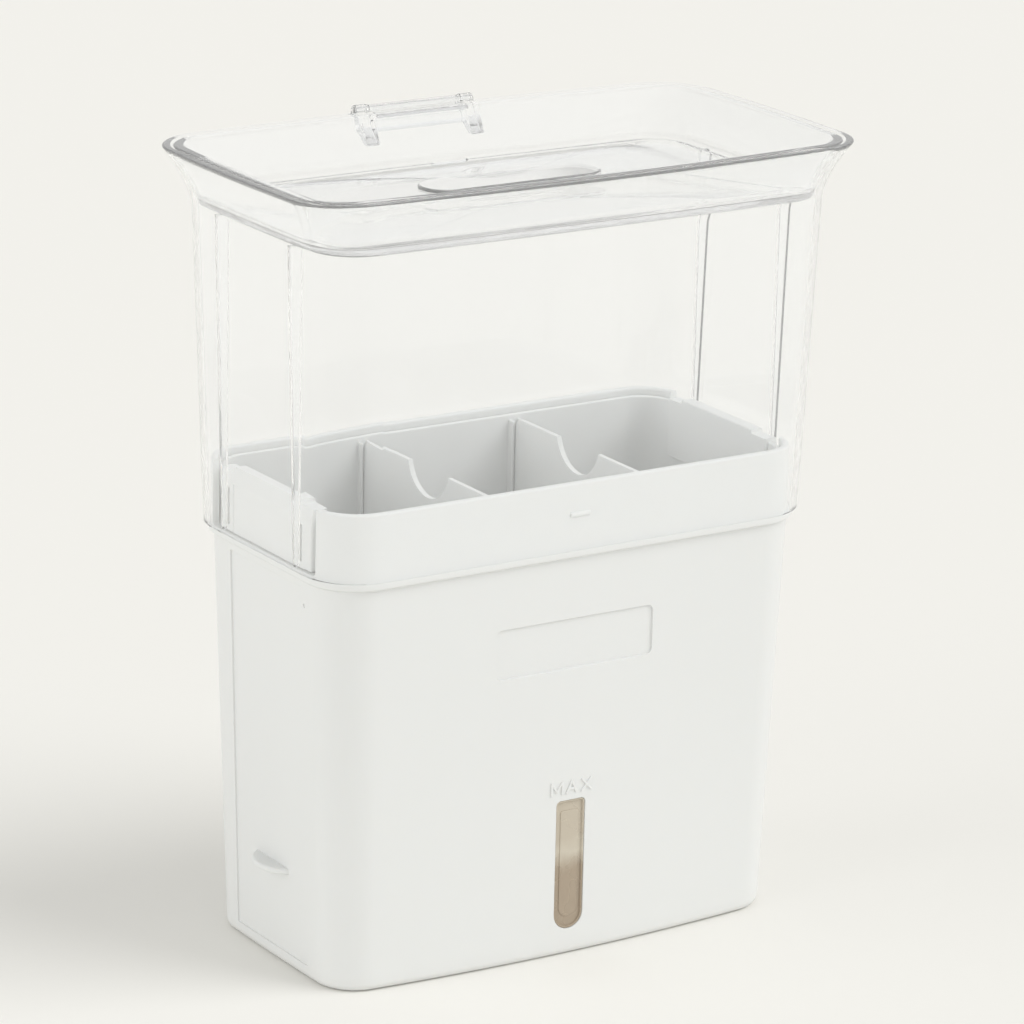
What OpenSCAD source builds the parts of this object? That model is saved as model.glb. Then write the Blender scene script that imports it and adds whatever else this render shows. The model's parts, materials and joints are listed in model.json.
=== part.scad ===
// Herb keeper for a fridge shelf: white water reservoir, lift-out basket with
// two dividers, clear hood and a clear hinged lid.
// Frame: millimetres, +Z up, front of the keeper towards -Y, origin at the
// centre of the base.

/* [Overall] */
// Width over the clear rim
rim_w = 214.8; // [178:0.1:260]
// Depth over the clear rim, without the hinge
rim_d = 121.6; // [100:0.1:148]
// Height of the clear rim above the shelf
rim_z = 270; // [222:0.5:330]

/* [Reservoir] */
// Height of the reservoir's top edge
reservoir_z = 165.7; // [136:0.1:200]
// Wall of the reservoir
reservoir_wall = 2.5; // [2.2:0.05:3.1]
// How far each end leans in at the base
base_taper = 4; // [2:0.1:6]
// How far the front and back bulge at the base
base_bow = 5; // [3:0.1:7]
// Corner radius at the base
base_r = 13; // [10:0.5:18]
// Corner radius of the band
band_r = 16; // [13:0.5:20]
// How far the bead under the hood stands out
bead_out = 1.8; // [1.2:0.1:2.2]
// Height of the bead
bead_h = 3; // [2.5:0.1:4]
// Height of the half-moon tabs on the ends
tab_z = 33; // [20:0.5:60]
// Radius of a tab
tab_r = 13.4; // [10:0.1:18]
// How far a tab stands out
tab_out = 5.1; // [3:0.1:8]
// Thickness of a tab
tab_h = 2.2; // [1.5:0.1:3]
// Depth of the end panels
panel_depth = 0.7; // [0.3:0.1:1]
// Width of the bare badge recess
badge_w = 61.4; // [40:0.1:80]
// Height of the badge recess
badge_h = 17.2; // [10:0.1:24]
// Corner radius of the badge recess
badge_r = 2.2; // [1:0.1:5]
// Height of the badge's middle above the shelf
badge_z = 110.2; // [85:0.1:120]
// Depth of the badge recess
badge_depth = 0.8; // [0.4:0.1:1.2]
// Diameter of the moulding dimple on the left end
dimple_d = 1.5; // [1:0.1:2.5]

/* [Water window] */
// Width of the window recess
window_w = 11.3; // [10:0.1:16]
// Length of the window recess
window_h = 45.8; // [36:0.1:60]
// Height of the recess above the shelf
window_z = 9.5; // [8:0.1:14]
// Depth of the recess
window_depth = 1.9; // [1.6:0.05:2]
// Width of the see-through field
pane_w = 7.2; // [6:0.1:8]
// Border below the see-through field
pane_low = 4; // [3:0.1:5]
// Border above the see-through field
pane_high = 3.8; // [3:0.1:5]
// Gap round the window in its recess
window_play = 0.05; // [0.03:0.01:0.1]
// Thickness of the seal behind the window
seal_t = 0.4; // [0.3:0.05:0.6]
// Height of the fill mark's lower edge
mark_z = 57.6; // [56.5:0.1:70]
// How far the fill mark stands out
mark_out = 0.45; // [0.3:0.05:0.7]

/* [Basket] */
// Gap between the basket and the reservoir wall
basket_gap = 0.9; // [0.7:0.05:1.2]
// Wall of the basket
basket_wall = 1.6; // [1.3:0.05:2]
// Height of the basket floor above the shelf
basket_floor_z = 12; // [9:0.1:16]
// How far the basket's edge lies below the reservoir's
basket_drop = 2.4; // [1:0.1:4]
// Diameter of a drain hole
hole_d = 6; // [4:0.1:7]
// Number of drain holes across the width, an odd number
hole_cols = 11; // [9:2:11]
// Number of drain holes across the depth, an odd number
hole_rows = 5; // [3:2:5]
// Distance of the outer holes from the basket's wall
hole_edge = 14; // [10:0.1:16]
// Diameter of a foot
foot_d = 6; // [4:0.1:8]
// Width of the end flanges
flange_w = 58; // [54:0.1:60]
// Gap beside a flange in the reservoir's cut-out
flange_gap = 4; // [2:0.1:5]
// How far a flange lies back from the band's end
flange_back = 0.8; // [0.5:0.1:1.2]
// Width of the bevelled lift panel in a flange
lift_w = 42; // [38:0.1:43]
// Width of a slot in a flange
slot_w = 2; // [1.4:0.1:3]
// Height of a slot in a flange
slot_h = 12.5; // [8:0.1:14]

/* [Dividers] */
// Thickness of a divider
divider_t = 1.8; // [1.4:0.05:2.4]
// Distance between the two dividers
divider_pitch = 58.9; // [50:0.1:62]
// How far the dividers' tops lie below the reservoir's edge
divider_drop = 3.2; // [2:0.1:6]
// Gap beside a divider in its guide channel
divider_play = 0.3; // [0.25:0.01:0.4]
// Least gap between a divider's edge and the basket's wall
divider_end_play = 0.6; // [0.4:0.05:0.8]
// Radius of the finger cut-out
finger_r = 13; // [10:0.1:16]
// Width of a water slot at a divider's foot
water_slot_w = 4; // [3:0.1:6]
// Height of a water slot
water_slot_h = 8; // [4:0.1:12]
// Thickness of a guide rib
guide_t = 1.2; // [1:0.1:1.6]
// How far a guide rib stands out from the wall
guide_out = 2.6; // [2:0.1:3.4]

/* [Hood] */
// Wall of the hood
hood_wall = 2.4; // [2:0.05:3]
// Level thickness of the hood's wall at the rim
hood_lip = 3.1; // [2.4:0.05:3.6]
// Gap between the hood and the reservoir's band
hood_gap = 1.1; // [0.8:0.05:1.4]
// How far the hood reaches down over the band
hood_overlap = 22.7; // [18:0.1:26]
// How far each wall of the hood leans out below the flare
hood_draft = 3.2; // [2.5:0.1:4]
// Height of the flare
flare_h = 20; // [17:0.1:24]
// How far the flare stands out at each end
flare_end = 9.2; // [6:0.1:11]
// How far the flare stands out at the front and back
flare_side = 8.1; // [6:0.1:10]
// Distance between the two ribs of an end wall
rib_pitch = 47; // [45.2:0.1:48]
// Thickness of a rib
rib_t = 2; // [1.4:0.1:2.6]
// Gap between a rib and the basket's flange
rib_gap = 0.5; // [0.3:0.05:0.8]

/* [Lid] */
// Gap between the lid and the hood's flare
lid_gap = 0.5; // [0.35:0.01:0.6]
// Wall of the lid
lid_wall = 1.5; // [1.2:0.05:1.9]
// Level thickness of the lid's wall at the rim
lid_lip = 3.7; // [2.6:0.05:4.2]
// Depth of the lid's underside below the rim
lid_drop = 19; // [17:0.1:19.5]
// Thickness of the lid's floor
lid_floor = 2.3; // [1.8:0.1:2.8]
// How far the lid's floor domes up
lid_dome = 4.2; // [2:0.1:5]
// Width of the bare pad on the lid
pad_w = 67.5; // [50:0.1:80]
// Depth of the pad
pad_d = 17; // [12:0.1:22]
// Depth of the pad's top below the rim
pad_drop = 11.5; // [10:0.1:12]
// Length of the vent slot
vent_w = 14; // [8:0.1:20]
// Width of the vent slot
vent_d = 2.4; // [1.6:0.1:3]
// Place of the vent slot from the middle
vent_x = 5; // [0:0.1:12]
// Distance of the vent slot from the back of the rim
vent_back = 15; // [13.5:0.1:20]

/* [Hinge] */
// Diameter of the hinge pin
pin_d = 2; // [1.6:0.05:2.4]
// Radial running clearance of the pin
pin_play = 0.05; // [0.03:0.01:0.09]
// Wall of the lid's hinge barrel
barrel_wall = 0.85; // [0.8:0.05:1.2]
// Length of the lid's hinge barrel
barrel_w = 35.6; // [28:0.1:44]
// Gap between the barrel and an ear of the hood
ear_gap = 0.3; // [0.25:0.01:0.5]
// Thickness of an ear
ear_w = 4.9; // [3.5:0.1:6]
// Height of an ear below the pin
ear_h = 10.6; // [9:0.1:12]
// Distance of the pin behind the rim
hinge_back = 1.4; // [1.3:0.1:3]
// Depth of the pin below the rim
hinge_drop = 0.2; // [0:0.05:0.5]
// Diameter of the bar between the ears
bar_d = 3.8; // [3:0.1:4.2]
// Depth of the bar below the pin
bar_drop = 5.6; // [5:0.1:6.5]
// Distance of the bar in front of the pin
bar_in = 1.3; // [0.8:0.1:1.6]

/* [Hidden] */

white = [0.91, 0.92, 0.91];
clear = [0.86, 0.89, 0.90, 0.35];
smoke = [0.55, 0.50, 0.45, 0.6];
rubber = [0.75, 0.74, 0.72];

corner_n = 6;
long_n = 8;
short_n = 4;
lip_r = 0.4;

// A section is [width, depth, corner radius, end bow, side bow, height].
hood_low_z = reservoir_z - hood_overlap;
bead_z = hood_low_z - bead_h;
flare_z = rim_z - flare_h;
hood_rim = [rim_w, rim_d, 18, 1.9, 3.5, rim_z];
hood_high = [rim_w - 2 * flare_end, rim_d - 2 * flare_side, 18, 0.5, 0.8, flare_z];
hood_low = [
    hood_high[0] - 2 * hood_draft,
    hood_high[1] - 2 * hood_draft,
    band_r + hood_gap + hood_wall,
    0, 0, hood_low_z
];
band_section = [
    hood_low[0] - 2 * (hood_wall + hood_gap),
    hood_low[1] - 2 * (hood_wall + hood_gap),
    band_r,
    0, 0, bead_z
];
base_section = [band_section[0] - 2 * base_taper, band_section[1], base_r, 0.6, base_bow, 0];

inner_half_w = band_section[0] / 2 - reservoir_wall;
inner_half_d = band_section[1] / 2 - reservoir_wall;
front_y = -band_section[1] / 2;
band_end_x = band_section[0] / 2;
basket_end_x = inner_half_w - basket_gap;
basket_half_d = inner_half_d - basket_gap - basket_wall;
flange_x = band_end_x - flange_back;
rib_y = rib_pitch / 2;
rib_x = flange_x + rib_gap;
divider_x = divider_pitch / 2;
channel_half = divider_t / 2 + divider_play;
window_top = window_z + window_h;
lid_under_z = rim_z - lid_drop;

pin_r = pin_d / 2;
bore_r = pin_r + pin_play;
barrel_r = bore_r + barrel_wall;
eye_r = barrel_r + 0.3;
hinge_y = rim_d / 2 + hinge_back;
hinge_z = rim_z - hinge_drop;
bar_y = hinge_y - bar_in;
bar_z = hinge_z - bar_drop;
ear_x = barrel_w / 2 + ear_gap;

// Outline points, counterclockwise from above.
function corner_pts(cx, cy, r, start) =
    [for (i = [0:corner_n])
        [cx + r * cos(start + 90 * i / corner_n), cy + r * sin(start + 90 * i / corner_n)]];

function between(a, b, n) = [for (i = [1:n - 1]) a + (b - a) * i / n];

function outline(hx, hy, r) =
    concat(
        corner_pts(hx - r, hy - r, r, 0),
        between([hx - r, hy], [r - hx, hy], long_n),
        corner_pts(r - hx, hy - r, r, 90),
        between([-hx, hy - r], [-hx, r - hy], short_n),
        corner_pts(r - hx, r - hy, r, 180),
        between([r - hx, -hy], [hx - r, -hy], long_n),
        corner_pts(hx - r, r - hy, r, 270),
        between([hx, r - hy], [hx, hy - r], short_n)
    );

function bowed(p, hx, hy, bow_x, bow_y) =
    [p[0] * (1 + bow_x / hx * (1 - pow(p[1] / hy, 2))),
     p[1] * (1 + bow_y / hy * (1 - pow(p[0] / hx, 2)))];

function ring(s) =
    let (hx = s[0] / 2 - s[3], hy = s[1] / 2 - s[4])
    [for (p = outline(hx, hy, s[2]))
        let (q = bowed(p, hx, hy, s[3], s[4])) [q[0], q[1], s[5]]];

// Section helpers: inwards by a wall, at another height, between two others.
function inset(s, by) = [s[0] - 2 * by, s[1] - 2 * by, max(s[2] - by, 1), s[3], s[4], s[5]];
function lift(s, z) = [s[0], s[1], s[2], s[3], s[4], z];
function blend(a, b, z) = a + (b - a) * (z - a[5]) / (b[5] - a[5]);
function grown(s, k, z) = [s[0] * k, s[1] * k, s[2] * k, s[3] * k, s[4] * k, z];

// Outside of the reservoir, and the y of its front wall at the base.
function tub(z) = z < bead_z ? blend(base_section, band_section, z) : lift(band_section, z);
function base_half_d(x) =
    let (hx = base_section[0] / 2, hy = base_section[1] / 2 - base_bow)
    hy + base_bow * (1 - pow(x / hx, 2));

// Walls of the hood and the lid at a height, from the flare's foot to its lip.
function flare_share(z) = max(min((z - flare_z) / (flare_h - lip_r), 1), 0);
function flare(z) =
    lift(hood_high + (hood_rim - hood_high) * pow(flare_share(z), 1.7), z);
function sleeve(z) = z < flare_z ? blend(hood_low, hood_high, z) : flare(z);
function sleeve_wall(z) = hood_wall + (hood_lip - hood_wall) * flare_share(z);
function dish_wall(z) = lid_wall + (lid_lip - lid_wall) * flare_share(z);
function sleeve_in(z) = inset(sleeve(z), sleeve_wall(z));
function dish_out(z) = inset(sleeve(z), sleeve_wall(z) + lid_gap);
function dish_in(z) = inset(dish_out(z), dish_wall(z));

// Skin through a list of sections, capped at both ends or joined end to end.
module loft(sections, joined = false) {
    rings = [for (s = sections) ring(s)];
    n = len(rings[0]);
    m = len(rings);
    steps = joined ? m : m - 1;
    sides = [for (i = [0:steps - 1], j = [0:n - 1])
        each let (
            a = i * n + j,
            b = i * n + (j + 1) % n,
            c = ((i + 1) % m) * n + (j + 1) % n,
            d = ((i + 1) % m) * n + j
        ) [[a, d, c], [a, c, b]]];
    caps = joined ? [] : [
        [for (j = [0:n - 1]) j],
        [for (j = [n - 1:-1:0]) (m - 1) * n + j]
    ];
    polyhedron(points = [for (r = rings) each r], faces = concat(sides, caps), convexity = 10);
}

// Flat shape standing in the XZ plane, from y_back towards the front.
module facing(y_back, depth) {
    translate([0, y_back, 0])
        rotate([90, 0, 0])
            linear_extrude(depth)
                children();
}

// Profile drawn as [y, z], running along X from x_low.
module along_x(x_low, length) {
    translate([x_low, 0, 0])
        rotate([90, 0, 90])
            linear_extrude(length)
                children();
}

// Both ends of the keeper.
module both_ends() {
    children();
    mirror([1, 0, 0])
        children();
}

module soft_square(w, h, r) {
    square([w - 2 * r, h], center = true);
    square([w, h - 2 * r], center = true);
    for (x = [-1, 1], y = [-1, 1])
        translate([x * (w / 2 - r), y * (h / 2 - r)])
            circle(r, $fn = 32);
}

// Upright slot with a round lower end and softened upper corners.
module slot_shape(w, low, high, r) {
    translate([0, low + w / 2])
        circle(d = w, $fn = 48);
    translate([-w / 2, low + w / 2])
        square([w, high - low - w / 2 - r]);
    translate([r - w / 2, high - 2 * r])
        square([w - 2 * r, 2 * r]);
    for (x = [-1, 1])
        translate([x * (w / 2 - r), high - r])
            circle(r, $fn = 24);
}

module stroke(x0, z0, x1, z1) {
    translate([x0, z0])
        rotate(atan2(z1 - z0, x1 - x0))
            translate([-0.35, -0.4])
                square([norm([x1 - x0, z1 - z0]) + 0.7, 0.8]);
}

// Fill mark: the three letters of the highest water level.
module fill_mark() {
    stroke(-7.9, 0.4, -7.9, 4.4);
    stroke(-7.9, 4.4, -5.8, 1.6);
    stroke(-5.8, 1.6, -3.7, 4.4);
    stroke(-3.7, 4.4, -3.7, 0.4);
    stroke(-1.9, 0.4, 0, 4.4);
    stroke(0, 4.4, 1.9, 0.4);
    stroke(-1.1, 1.8, 1.1, 1.8);
    stroke(3.9, 0.4, 7.9, 4.4);
    stroke(3.9, 4.4, 7.9, 0.4);
}

module reservoir_shell() {
    w = reservoir_wall;
    loft([
        inset(tub(0), 2.4),
        inset(lift(tub(0.8), 0.7), 0.8),
        tub(3),
        tub(bead_z * 0.25),
        tub(bead_z * 0.5),
        tub(bead_z * 0.75),
        tub(bead_z),
        inset(tub(bead_z + 0.8), -bead_out),
        inset(tub(bead_z + bead_h - 0.02), -bead_out),
        inset(tub(bead_z + bead_h), -0.02),
        tub(reservoir_z - 0.6),
        inset(tub(reservoir_z), 0.5),
        inset(tub(reservoir_z - 0.01), w - 0.5),
        inset(tub(reservoir_z - 0.6), w),
        inset(tub(bead_z), w),
        inset(tub(bead_z * 0.5), w),
        inset(tub(w + 3), w),
        inset(tub(w), w + 2)
    ]);
}

module end_tab() {
    wall_x = tub(tab_z + tab_h / 2)[0] / 2;
    intersection() {
        translate([wall_x + tab_out - tab_r, 0, tab_z])
            cylinder(r = tab_r, h = tab_h, $fn = 96);
        translate([wall_x - 1.8, -tab_r, tab_z - 1])
            cube([tab_out + 2, 2 * tab_r, tab_h + 2]);
    }
}

module reservoir() {
    lean = atan2(base_taper, bead_z);
    cut_half = flange_w / 2 + flange_gap;
    dimple_z = bead_z - 8.8;
    color(white) {
        difference() {
            reservoir_shell();
            facing(front_y + badge_depth, 4)
                translate([0, badge_z])
                    soft_square(badge_w, badge_h, badge_r);
            facing(front_y + window_depth, 4)
                slot_shape(window_w, window_z, window_top, 1.6);
            facing(front_y + 6, 8)
                slot_shape(pane_w, window_z + pane_low, window_top - pane_high, 1);
            both_ends()
                translate([base_section[0] / 2 - panel_depth, -rib_y, 5])
                    rotate([0, lean, 0])
                        cube([6, 2 * rib_y, bead_z - 8]);
            both_ends()
                translate([inner_half_w - 6, -cut_half, hood_low_z + 0.4])
                    cube([14, 2 * cut_half, reservoir_z]);
            translate([-tub(dimple_z)[0] / 2 - 1, -rib_y - 1.6, dimple_z])
                rotate([0, 90, 0])
                    cylinder(d = dimple_d, h = 1.4, $fn = 24);
        }
        both_ends()
            end_tab();
        facing(front_y + 0.4, 0.4 + mark_out)
            translate([0, mark_z])
                fill_mark();
        translate([-4, front_y + 0.4, reservoir_z - 10.7])
            rotate([0, 90, 0])
                cylinder(r = 1.1, h = 8, $fn = 32);
    }
}

// Outline of the window recess, drawn in by a distance.
module window_shape(by) {
    slot_shape(window_w - 2 * by, window_z + by, window_top - by, 1.6 - by);
}

// Shallow tray with a lining wall, and the field that fills the wall's hole.
module water_window() {
    back_y = front_y + window_depth - seal_t;
    color(smoke) {
        difference() {
            facing(back_y, window_depth - seal_t - 0.25)
                window_shape(window_play);
            facing(back_y - 0.5, window_depth)
                window_shape(window_play + 0.7);
        }
        facing(front_y + reservoir_wall, reservoir_wall - 0.75)
            slot_shape(
                pane_w - 2 * window_play,
                window_z + pane_low + window_play,
                window_top - pane_high - window_play,
                1 - window_play
            );
    }
}

module window_seal() {
    color(rubber)
        difference() {
            facing(front_y + window_depth, seal_t)
                window_shape(window_play);
            facing(front_y + window_depth + 1, 4)
                slot_shape(pane_w, window_z + pane_low, window_top - pane_high, 1);
        }
}

module basket_shell() {
    g = reservoir_wall + basket_gap;
    f = basket_floor_z;
    top = reservoir_z - basket_drop;
    loft([
        inset(tub(f - 2), g + 1.6),
        inset(tub(f - 1), g + 0.4),
        inset(tub(f + 0.6), g),
        inset(tub(bead_z * 0.5), g),
        inset(tub(bead_z), g),
        inset(tub(top - 0.6), g),
        inset(tub(top), g + 0.4),
        inset(tub(top - 0.01), g + basket_wall - 0.4),
        inset(tub(top - 0.6), g + basket_wall),
        inset(tub(bead_z), g + basket_wall),
        inset(tub(bead_z * 0.5), g + basket_wall),
        inset(tub(f + 2), g + basket_wall),
        inset(tub(f), g + basket_wall + 1.6)
    ]);
}

// End flange of the basket: drops into the cut-out of the reservoir's band.
module end_flange() {
    low = hood_low_z + 0.6;
    high = reservoir_z + 0.2;
    half = flange_w / 2;
    lift_half = lift_w / 2;
    difference() {
        translate([basket_end_x - 1, -half, low])
            cube([flange_x - basket_end_x + 1, flange_w, high - low]);
        for (side = [-1, 1])
            translate([basket_end_x + 0.4, side * rib_y - slot_w / 2, low + 2.4])
                cube([8, slot_w, slot_h]);
        for (side = [-1, 1])
            translate([basket_end_x - 3, side > 0 ? lift_half : -half - 1, high - 1.5])
                cube([12, half - lift_half + 1, 4]);
        translate([flange_x, -half - 1, high - 4.9])
            rotate([0, -17, 0])
                cube([6, flange_w + 2, 10]);
    }
}

module divider_guides(x) {
    for (side = [-1, 1], wing = [-1, 1])
        translate([
            x + wing * (channel_half + guide_t / 2) - guide_t / 2,
            side > 0 ? basket_half_d - guide_out : -basket_half_d - 0.4,
            basket_floor_z - 1
        ])
            cube([guide_t, guide_out + 0.4, reservoir_z - divider_drop - 1 - basket_floor_z]);
}

module basket() {
    half_cols = (hole_cols - 1) / 2;
    half_rows = (hole_rows - 1) / 2;
    wall = reservoir_wall + basket_gap + basket_wall;
    pitch_x = (base_section[0] / 2 - wall - hole_edge) / half_cols;
    pitch_y = (base_section[1] / 2 - base_bow / 2 - wall - hole_edge / 2) / half_rows;
    color(white) {
        difference() {
            basket_shell();
            for (i = [-half_cols:half_cols], j = [-half_rows:half_rows])
                if (abs(abs(i * pitch_x) - divider_x) > (hole_d + divider_t) / 2)
                    translate([i * pitch_x, j * pitch_y, basket_floor_z - 5])
                        cylinder(d = hole_d, h = 8, $fn = 24);
        }
        both_ends()
            end_flange();
        divider_guides(-divider_x);
        divider_guides(divider_x);
        for (x = [-1, 1], y = [-1, 1])
            translate([x * pitch_x * (half_cols - 0.5), y * pitch_y * 1.5, reservoir_wall])
                cylinder(d = foot_d, h = basket_floor_z - reservoir_wall - 1, $fn = 32);
    }
}

// One divider, standing on the basket floor at a given X.
module divider(x) {
    high = reservoir_z - divider_drop - basket_floor_z;
    half = base_half_d(divider_x) - reservoir_wall - basket_gap - basket_wall - divider_end_play;
    color(white)
        along_x(x - divider_t / 2, divider_t)
            translate([0, basket_floor_z])
                difference() {
                    union() {
                        translate([-half, 0])
                            square([2 * half, high - 5]);
                        translate([5 - half, high - 6])
                            square([2 * half - 10, 6]);
                        for (side = [-1, 1])
                            translate([side * (half - 5), high - 5])
                                circle(5, $fn = 48);
                    }
                    translate([0, high + 3])
                        circle(finger_r, $fn = 64);
                    for (side = [-1, 1])
                        translate([side * half, 0])
                            rotate(45)
                                square(6, center = true);
                    for (i = [-2:2])
                        translate([i * half / 3 - water_slot_w / 2, -1])
                            square([water_slot_w, water_slot_h + 1]);
                }
}

module divider_left() {
    divider(-divider_x);
}

module divider_right() {
    divider(divider_x);
}

// Guide rib inside an end wall of the hood; its top carries the lid.
module hood_rib(y) {
    low_x = sleeve_in(hood_low_z)[0] / 2 + 1;
    high_x = sleeve_in(flare_z)[0] / 2 + 1;
    translate([0, y + rib_t / 2, 0])
        rotate([90, 0, 0])
            linear_extrude(rib_t)
                polygon([
                    [rib_x, hood_low_z + 2],
                    [low_x, hood_low_z + 1],
                    [high_x, lid_under_z],
                    [rib_x + 0.8, lid_under_z],
                    [rib_x, lid_under_z - 0.8]
                ]);
}

module hinge_cylinder(half, r) {
    translate([-half, hinge_y, hinge_z])
        rotate([0, 90, 0])
            cylinder(r = r, h = 2 * half, $fn = 48);
}

// Ear on the back of the flare: a gusset down the wall and an eye for the pin.
module hinge_ear() {
    foot_z = hinge_z - ear_h;
    mid_z = (foot_z + rim_z) / 2;
    translate([ear_x, hinge_y, hinge_z])
        rotate([0, 90, 0])
            cylinder(r = eye_r, h = ear_w, $fn = 48);
    along_x(ear_x, ear_w)
        polygon([
            [sleeve(foot_z)[1] / 2 - 1.2, foot_z],
            [sleeve(foot_z)[1] / 2 + 2.2, foot_z],
            [bar_y + bar_d / 2 + 0.3, bar_z - 1],
            [hinge_y + eye_r, bar_z + 2.5],
            [hinge_y + eye_r, hinge_z],
            [hinge_y, hinge_z + eye_r],
            [rim_d / 2 - 0.8, rim_z + 0.3],
            [rim_d / 2 - 1.5, rim_z - lip_r],
            [sleeve(mid_z)[1] / 2 - 1.2, mid_z]
        ]);
}

module hood() {
    up = [for (t = [0.2, 0.4, 0.55, 0.7, 0.82, 0.92]) flare_z + flare_h * t];
    mid_z = (hood_low_z + flare_z) / 2;
    outside = concat(
        [inset(sleeve(hood_low_z), 0.4), sleeve(hood_low_z + 0.5), sleeve(mid_z), sleeve(flare_z)],
        [for (z = up) sleeve(z)],
        [sleeve(rim_z - lip_r), inset(sleeve(rim_z), lip_r)]
    );
    inside = concat(
        [inset(sleeve(rim_z), hood_lip - lip_r), sleeve_in(rim_z - lip_r)],
        [for (i = [len(up) - 1:-1:0]) sleeve_in(up[i])],
        [sleeve_in(flare_z), sleeve_in(mid_z), sleeve_in(hood_low_z + 0.5),
         inset(sleeve(hood_low_z), hood_wall - 0.4)]
    );
    color(clear)
        difference() {
            union() {
                loft(concat(outside, inside), joined = true);
                both_ends() {
                    hood_rib(rib_y);
                    hood_rib(-rib_y);
                    hinge_ear();
                }
                translate([-ear_x - 1, bar_y, bar_z])
                    rotate([0, 90, 0])
                        cylinder(d = bar_d, h = 2 * ear_x + 2, $fn = 48);
            }
            hinge_cylinder(ear_x + ear_w + 1, bore_r);
            translate([-ear_x, rim_d / 2 - hood_lip - 3, hinge_z - eye_r])
                cube([2 * ear_x, hood_lip + 10, 8]);
        }
}

module hinge_pin() {
    color(clear)
        hinge_cylinder(ear_x + ear_w - 0.2, pin_r);
}

module lid_dish() {
    under = lid_under_z;
    floor_z = under + lid_floor;
    edge = dish_out(under + 2.4);
    inner = dish_in(floor_z + 3.4);
    loft([
        grown(edge, 0.1, under + lid_dome),
        grown(edge, 0.4, under + lid_dome * 0.86),
        grown(edge, 0.7, under + lid_dome * 0.4),
        inset(lift(edge, under), 8),
        inset(lift(edge, under), 2.2),
        inset(lift(edge, under + 0.7), 0.6),
        edge,
        dish_out(under + 7),
        dish_out(under + 10),
        dish_out(under + 13),
        dish_out(under + 15.4),
        dish_out(under + 17.4),
        dish_out(rim_z - lip_r),
        inset(dish_out(rim_z), lip_r),
        inset(dish_out(rim_z), lid_lip - lip_r),
        dish_in(rim_z - lip_r),
        dish_in(under + 17.4),
        dish_in(under + 15.4),
        dish_in(under + 13),
        dish_in(under + 10),
        dish_in(under + 7.5),
        inner,
        inset(lift(inner, floor_z + 1), 1.4),
        inset(lift(inner, floor_z), 4),
        grown(edge, 0.7, floor_z + lid_dome * 0.4),
        grown(edge, 0.4, floor_z + lid_dome * 0.86),
        grown(edge, 0.1, floor_z + lid_dome)
    ]);
}

module lid() {
    tongue_y = dish_out(rim_z)[1] / 2 - lid_lip / 2;
    color(clear)
        difference() {
            union() {
                lid_dish();
                translate([0, 0, lid_under_z + lid_dome + 0.4])
                    linear_extrude(lid_drop - pad_drop - lid_dome - 0.4)
                        soft_square(pad_w, pad_d, pad_d / 2 - 0.1);
                translate([-barrel_w / 2, tongue_y, hinge_z - barrel_r])
                    cube([barrel_w, hinge_y - tongue_y, barrel_r]);
                hinge_cylinder(barrel_w / 2, barrel_r);
            }
            hinge_cylinder(barrel_w / 2 + 1, bore_r);
            translate([vent_x, rim_d / 2 - vent_back, lid_under_z - 2])
                linear_extrude(lid_floor + lid_dome + 4)
                    soft_square(vent_w, vent_d, vent_d / 2 - 0.01);
        }
}

reservoir();
water_window();
window_seal();
basket();
divider_left();
divider_right();
hood();
hinge_pin();
lid();
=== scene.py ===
"""Looks of the herb keeper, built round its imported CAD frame.

Every size below is in millimetres in the CAD frame: +Z up, front towards -Y,
origin at the centre of the base. Meshes are written in metres.
"""

import json
import logging
import math
from collections.abc import Callable, Iterable, Sequence
from dataclasses import dataclass, field, replace
from enum import Enum
from typing import ClassVar

import bmesh
import bpy
import numpy as np
from mathutils import Matrix, Vector

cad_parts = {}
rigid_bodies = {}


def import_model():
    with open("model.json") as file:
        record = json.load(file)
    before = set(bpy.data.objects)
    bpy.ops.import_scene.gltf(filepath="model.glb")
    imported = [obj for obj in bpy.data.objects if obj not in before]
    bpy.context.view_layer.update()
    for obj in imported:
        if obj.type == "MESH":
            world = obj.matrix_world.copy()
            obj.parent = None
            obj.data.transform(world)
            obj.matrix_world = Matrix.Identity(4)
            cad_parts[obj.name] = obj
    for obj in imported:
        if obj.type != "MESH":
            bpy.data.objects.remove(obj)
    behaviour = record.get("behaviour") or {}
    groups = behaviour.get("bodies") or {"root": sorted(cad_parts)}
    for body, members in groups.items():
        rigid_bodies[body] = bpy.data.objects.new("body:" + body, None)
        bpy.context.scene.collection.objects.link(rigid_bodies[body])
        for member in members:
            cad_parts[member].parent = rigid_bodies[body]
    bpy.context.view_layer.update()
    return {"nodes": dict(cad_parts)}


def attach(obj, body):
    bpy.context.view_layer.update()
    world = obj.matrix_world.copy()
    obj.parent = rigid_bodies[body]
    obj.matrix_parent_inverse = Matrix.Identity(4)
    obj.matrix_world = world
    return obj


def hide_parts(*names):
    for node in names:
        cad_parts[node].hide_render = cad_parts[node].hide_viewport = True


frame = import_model()

log = logging.getLogger("herb_keeper")

MM = 0.001


# --------------------------------------------------------------------------
# Outlines and sections
# --------------------------------------------------------------------------


@dataclass(frozen=True)
class Steps:
    """How finely an outline is cut: points per corner, long side, short side."""

    corner: int = 12
    long: int = 40
    short: int = 20


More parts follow.
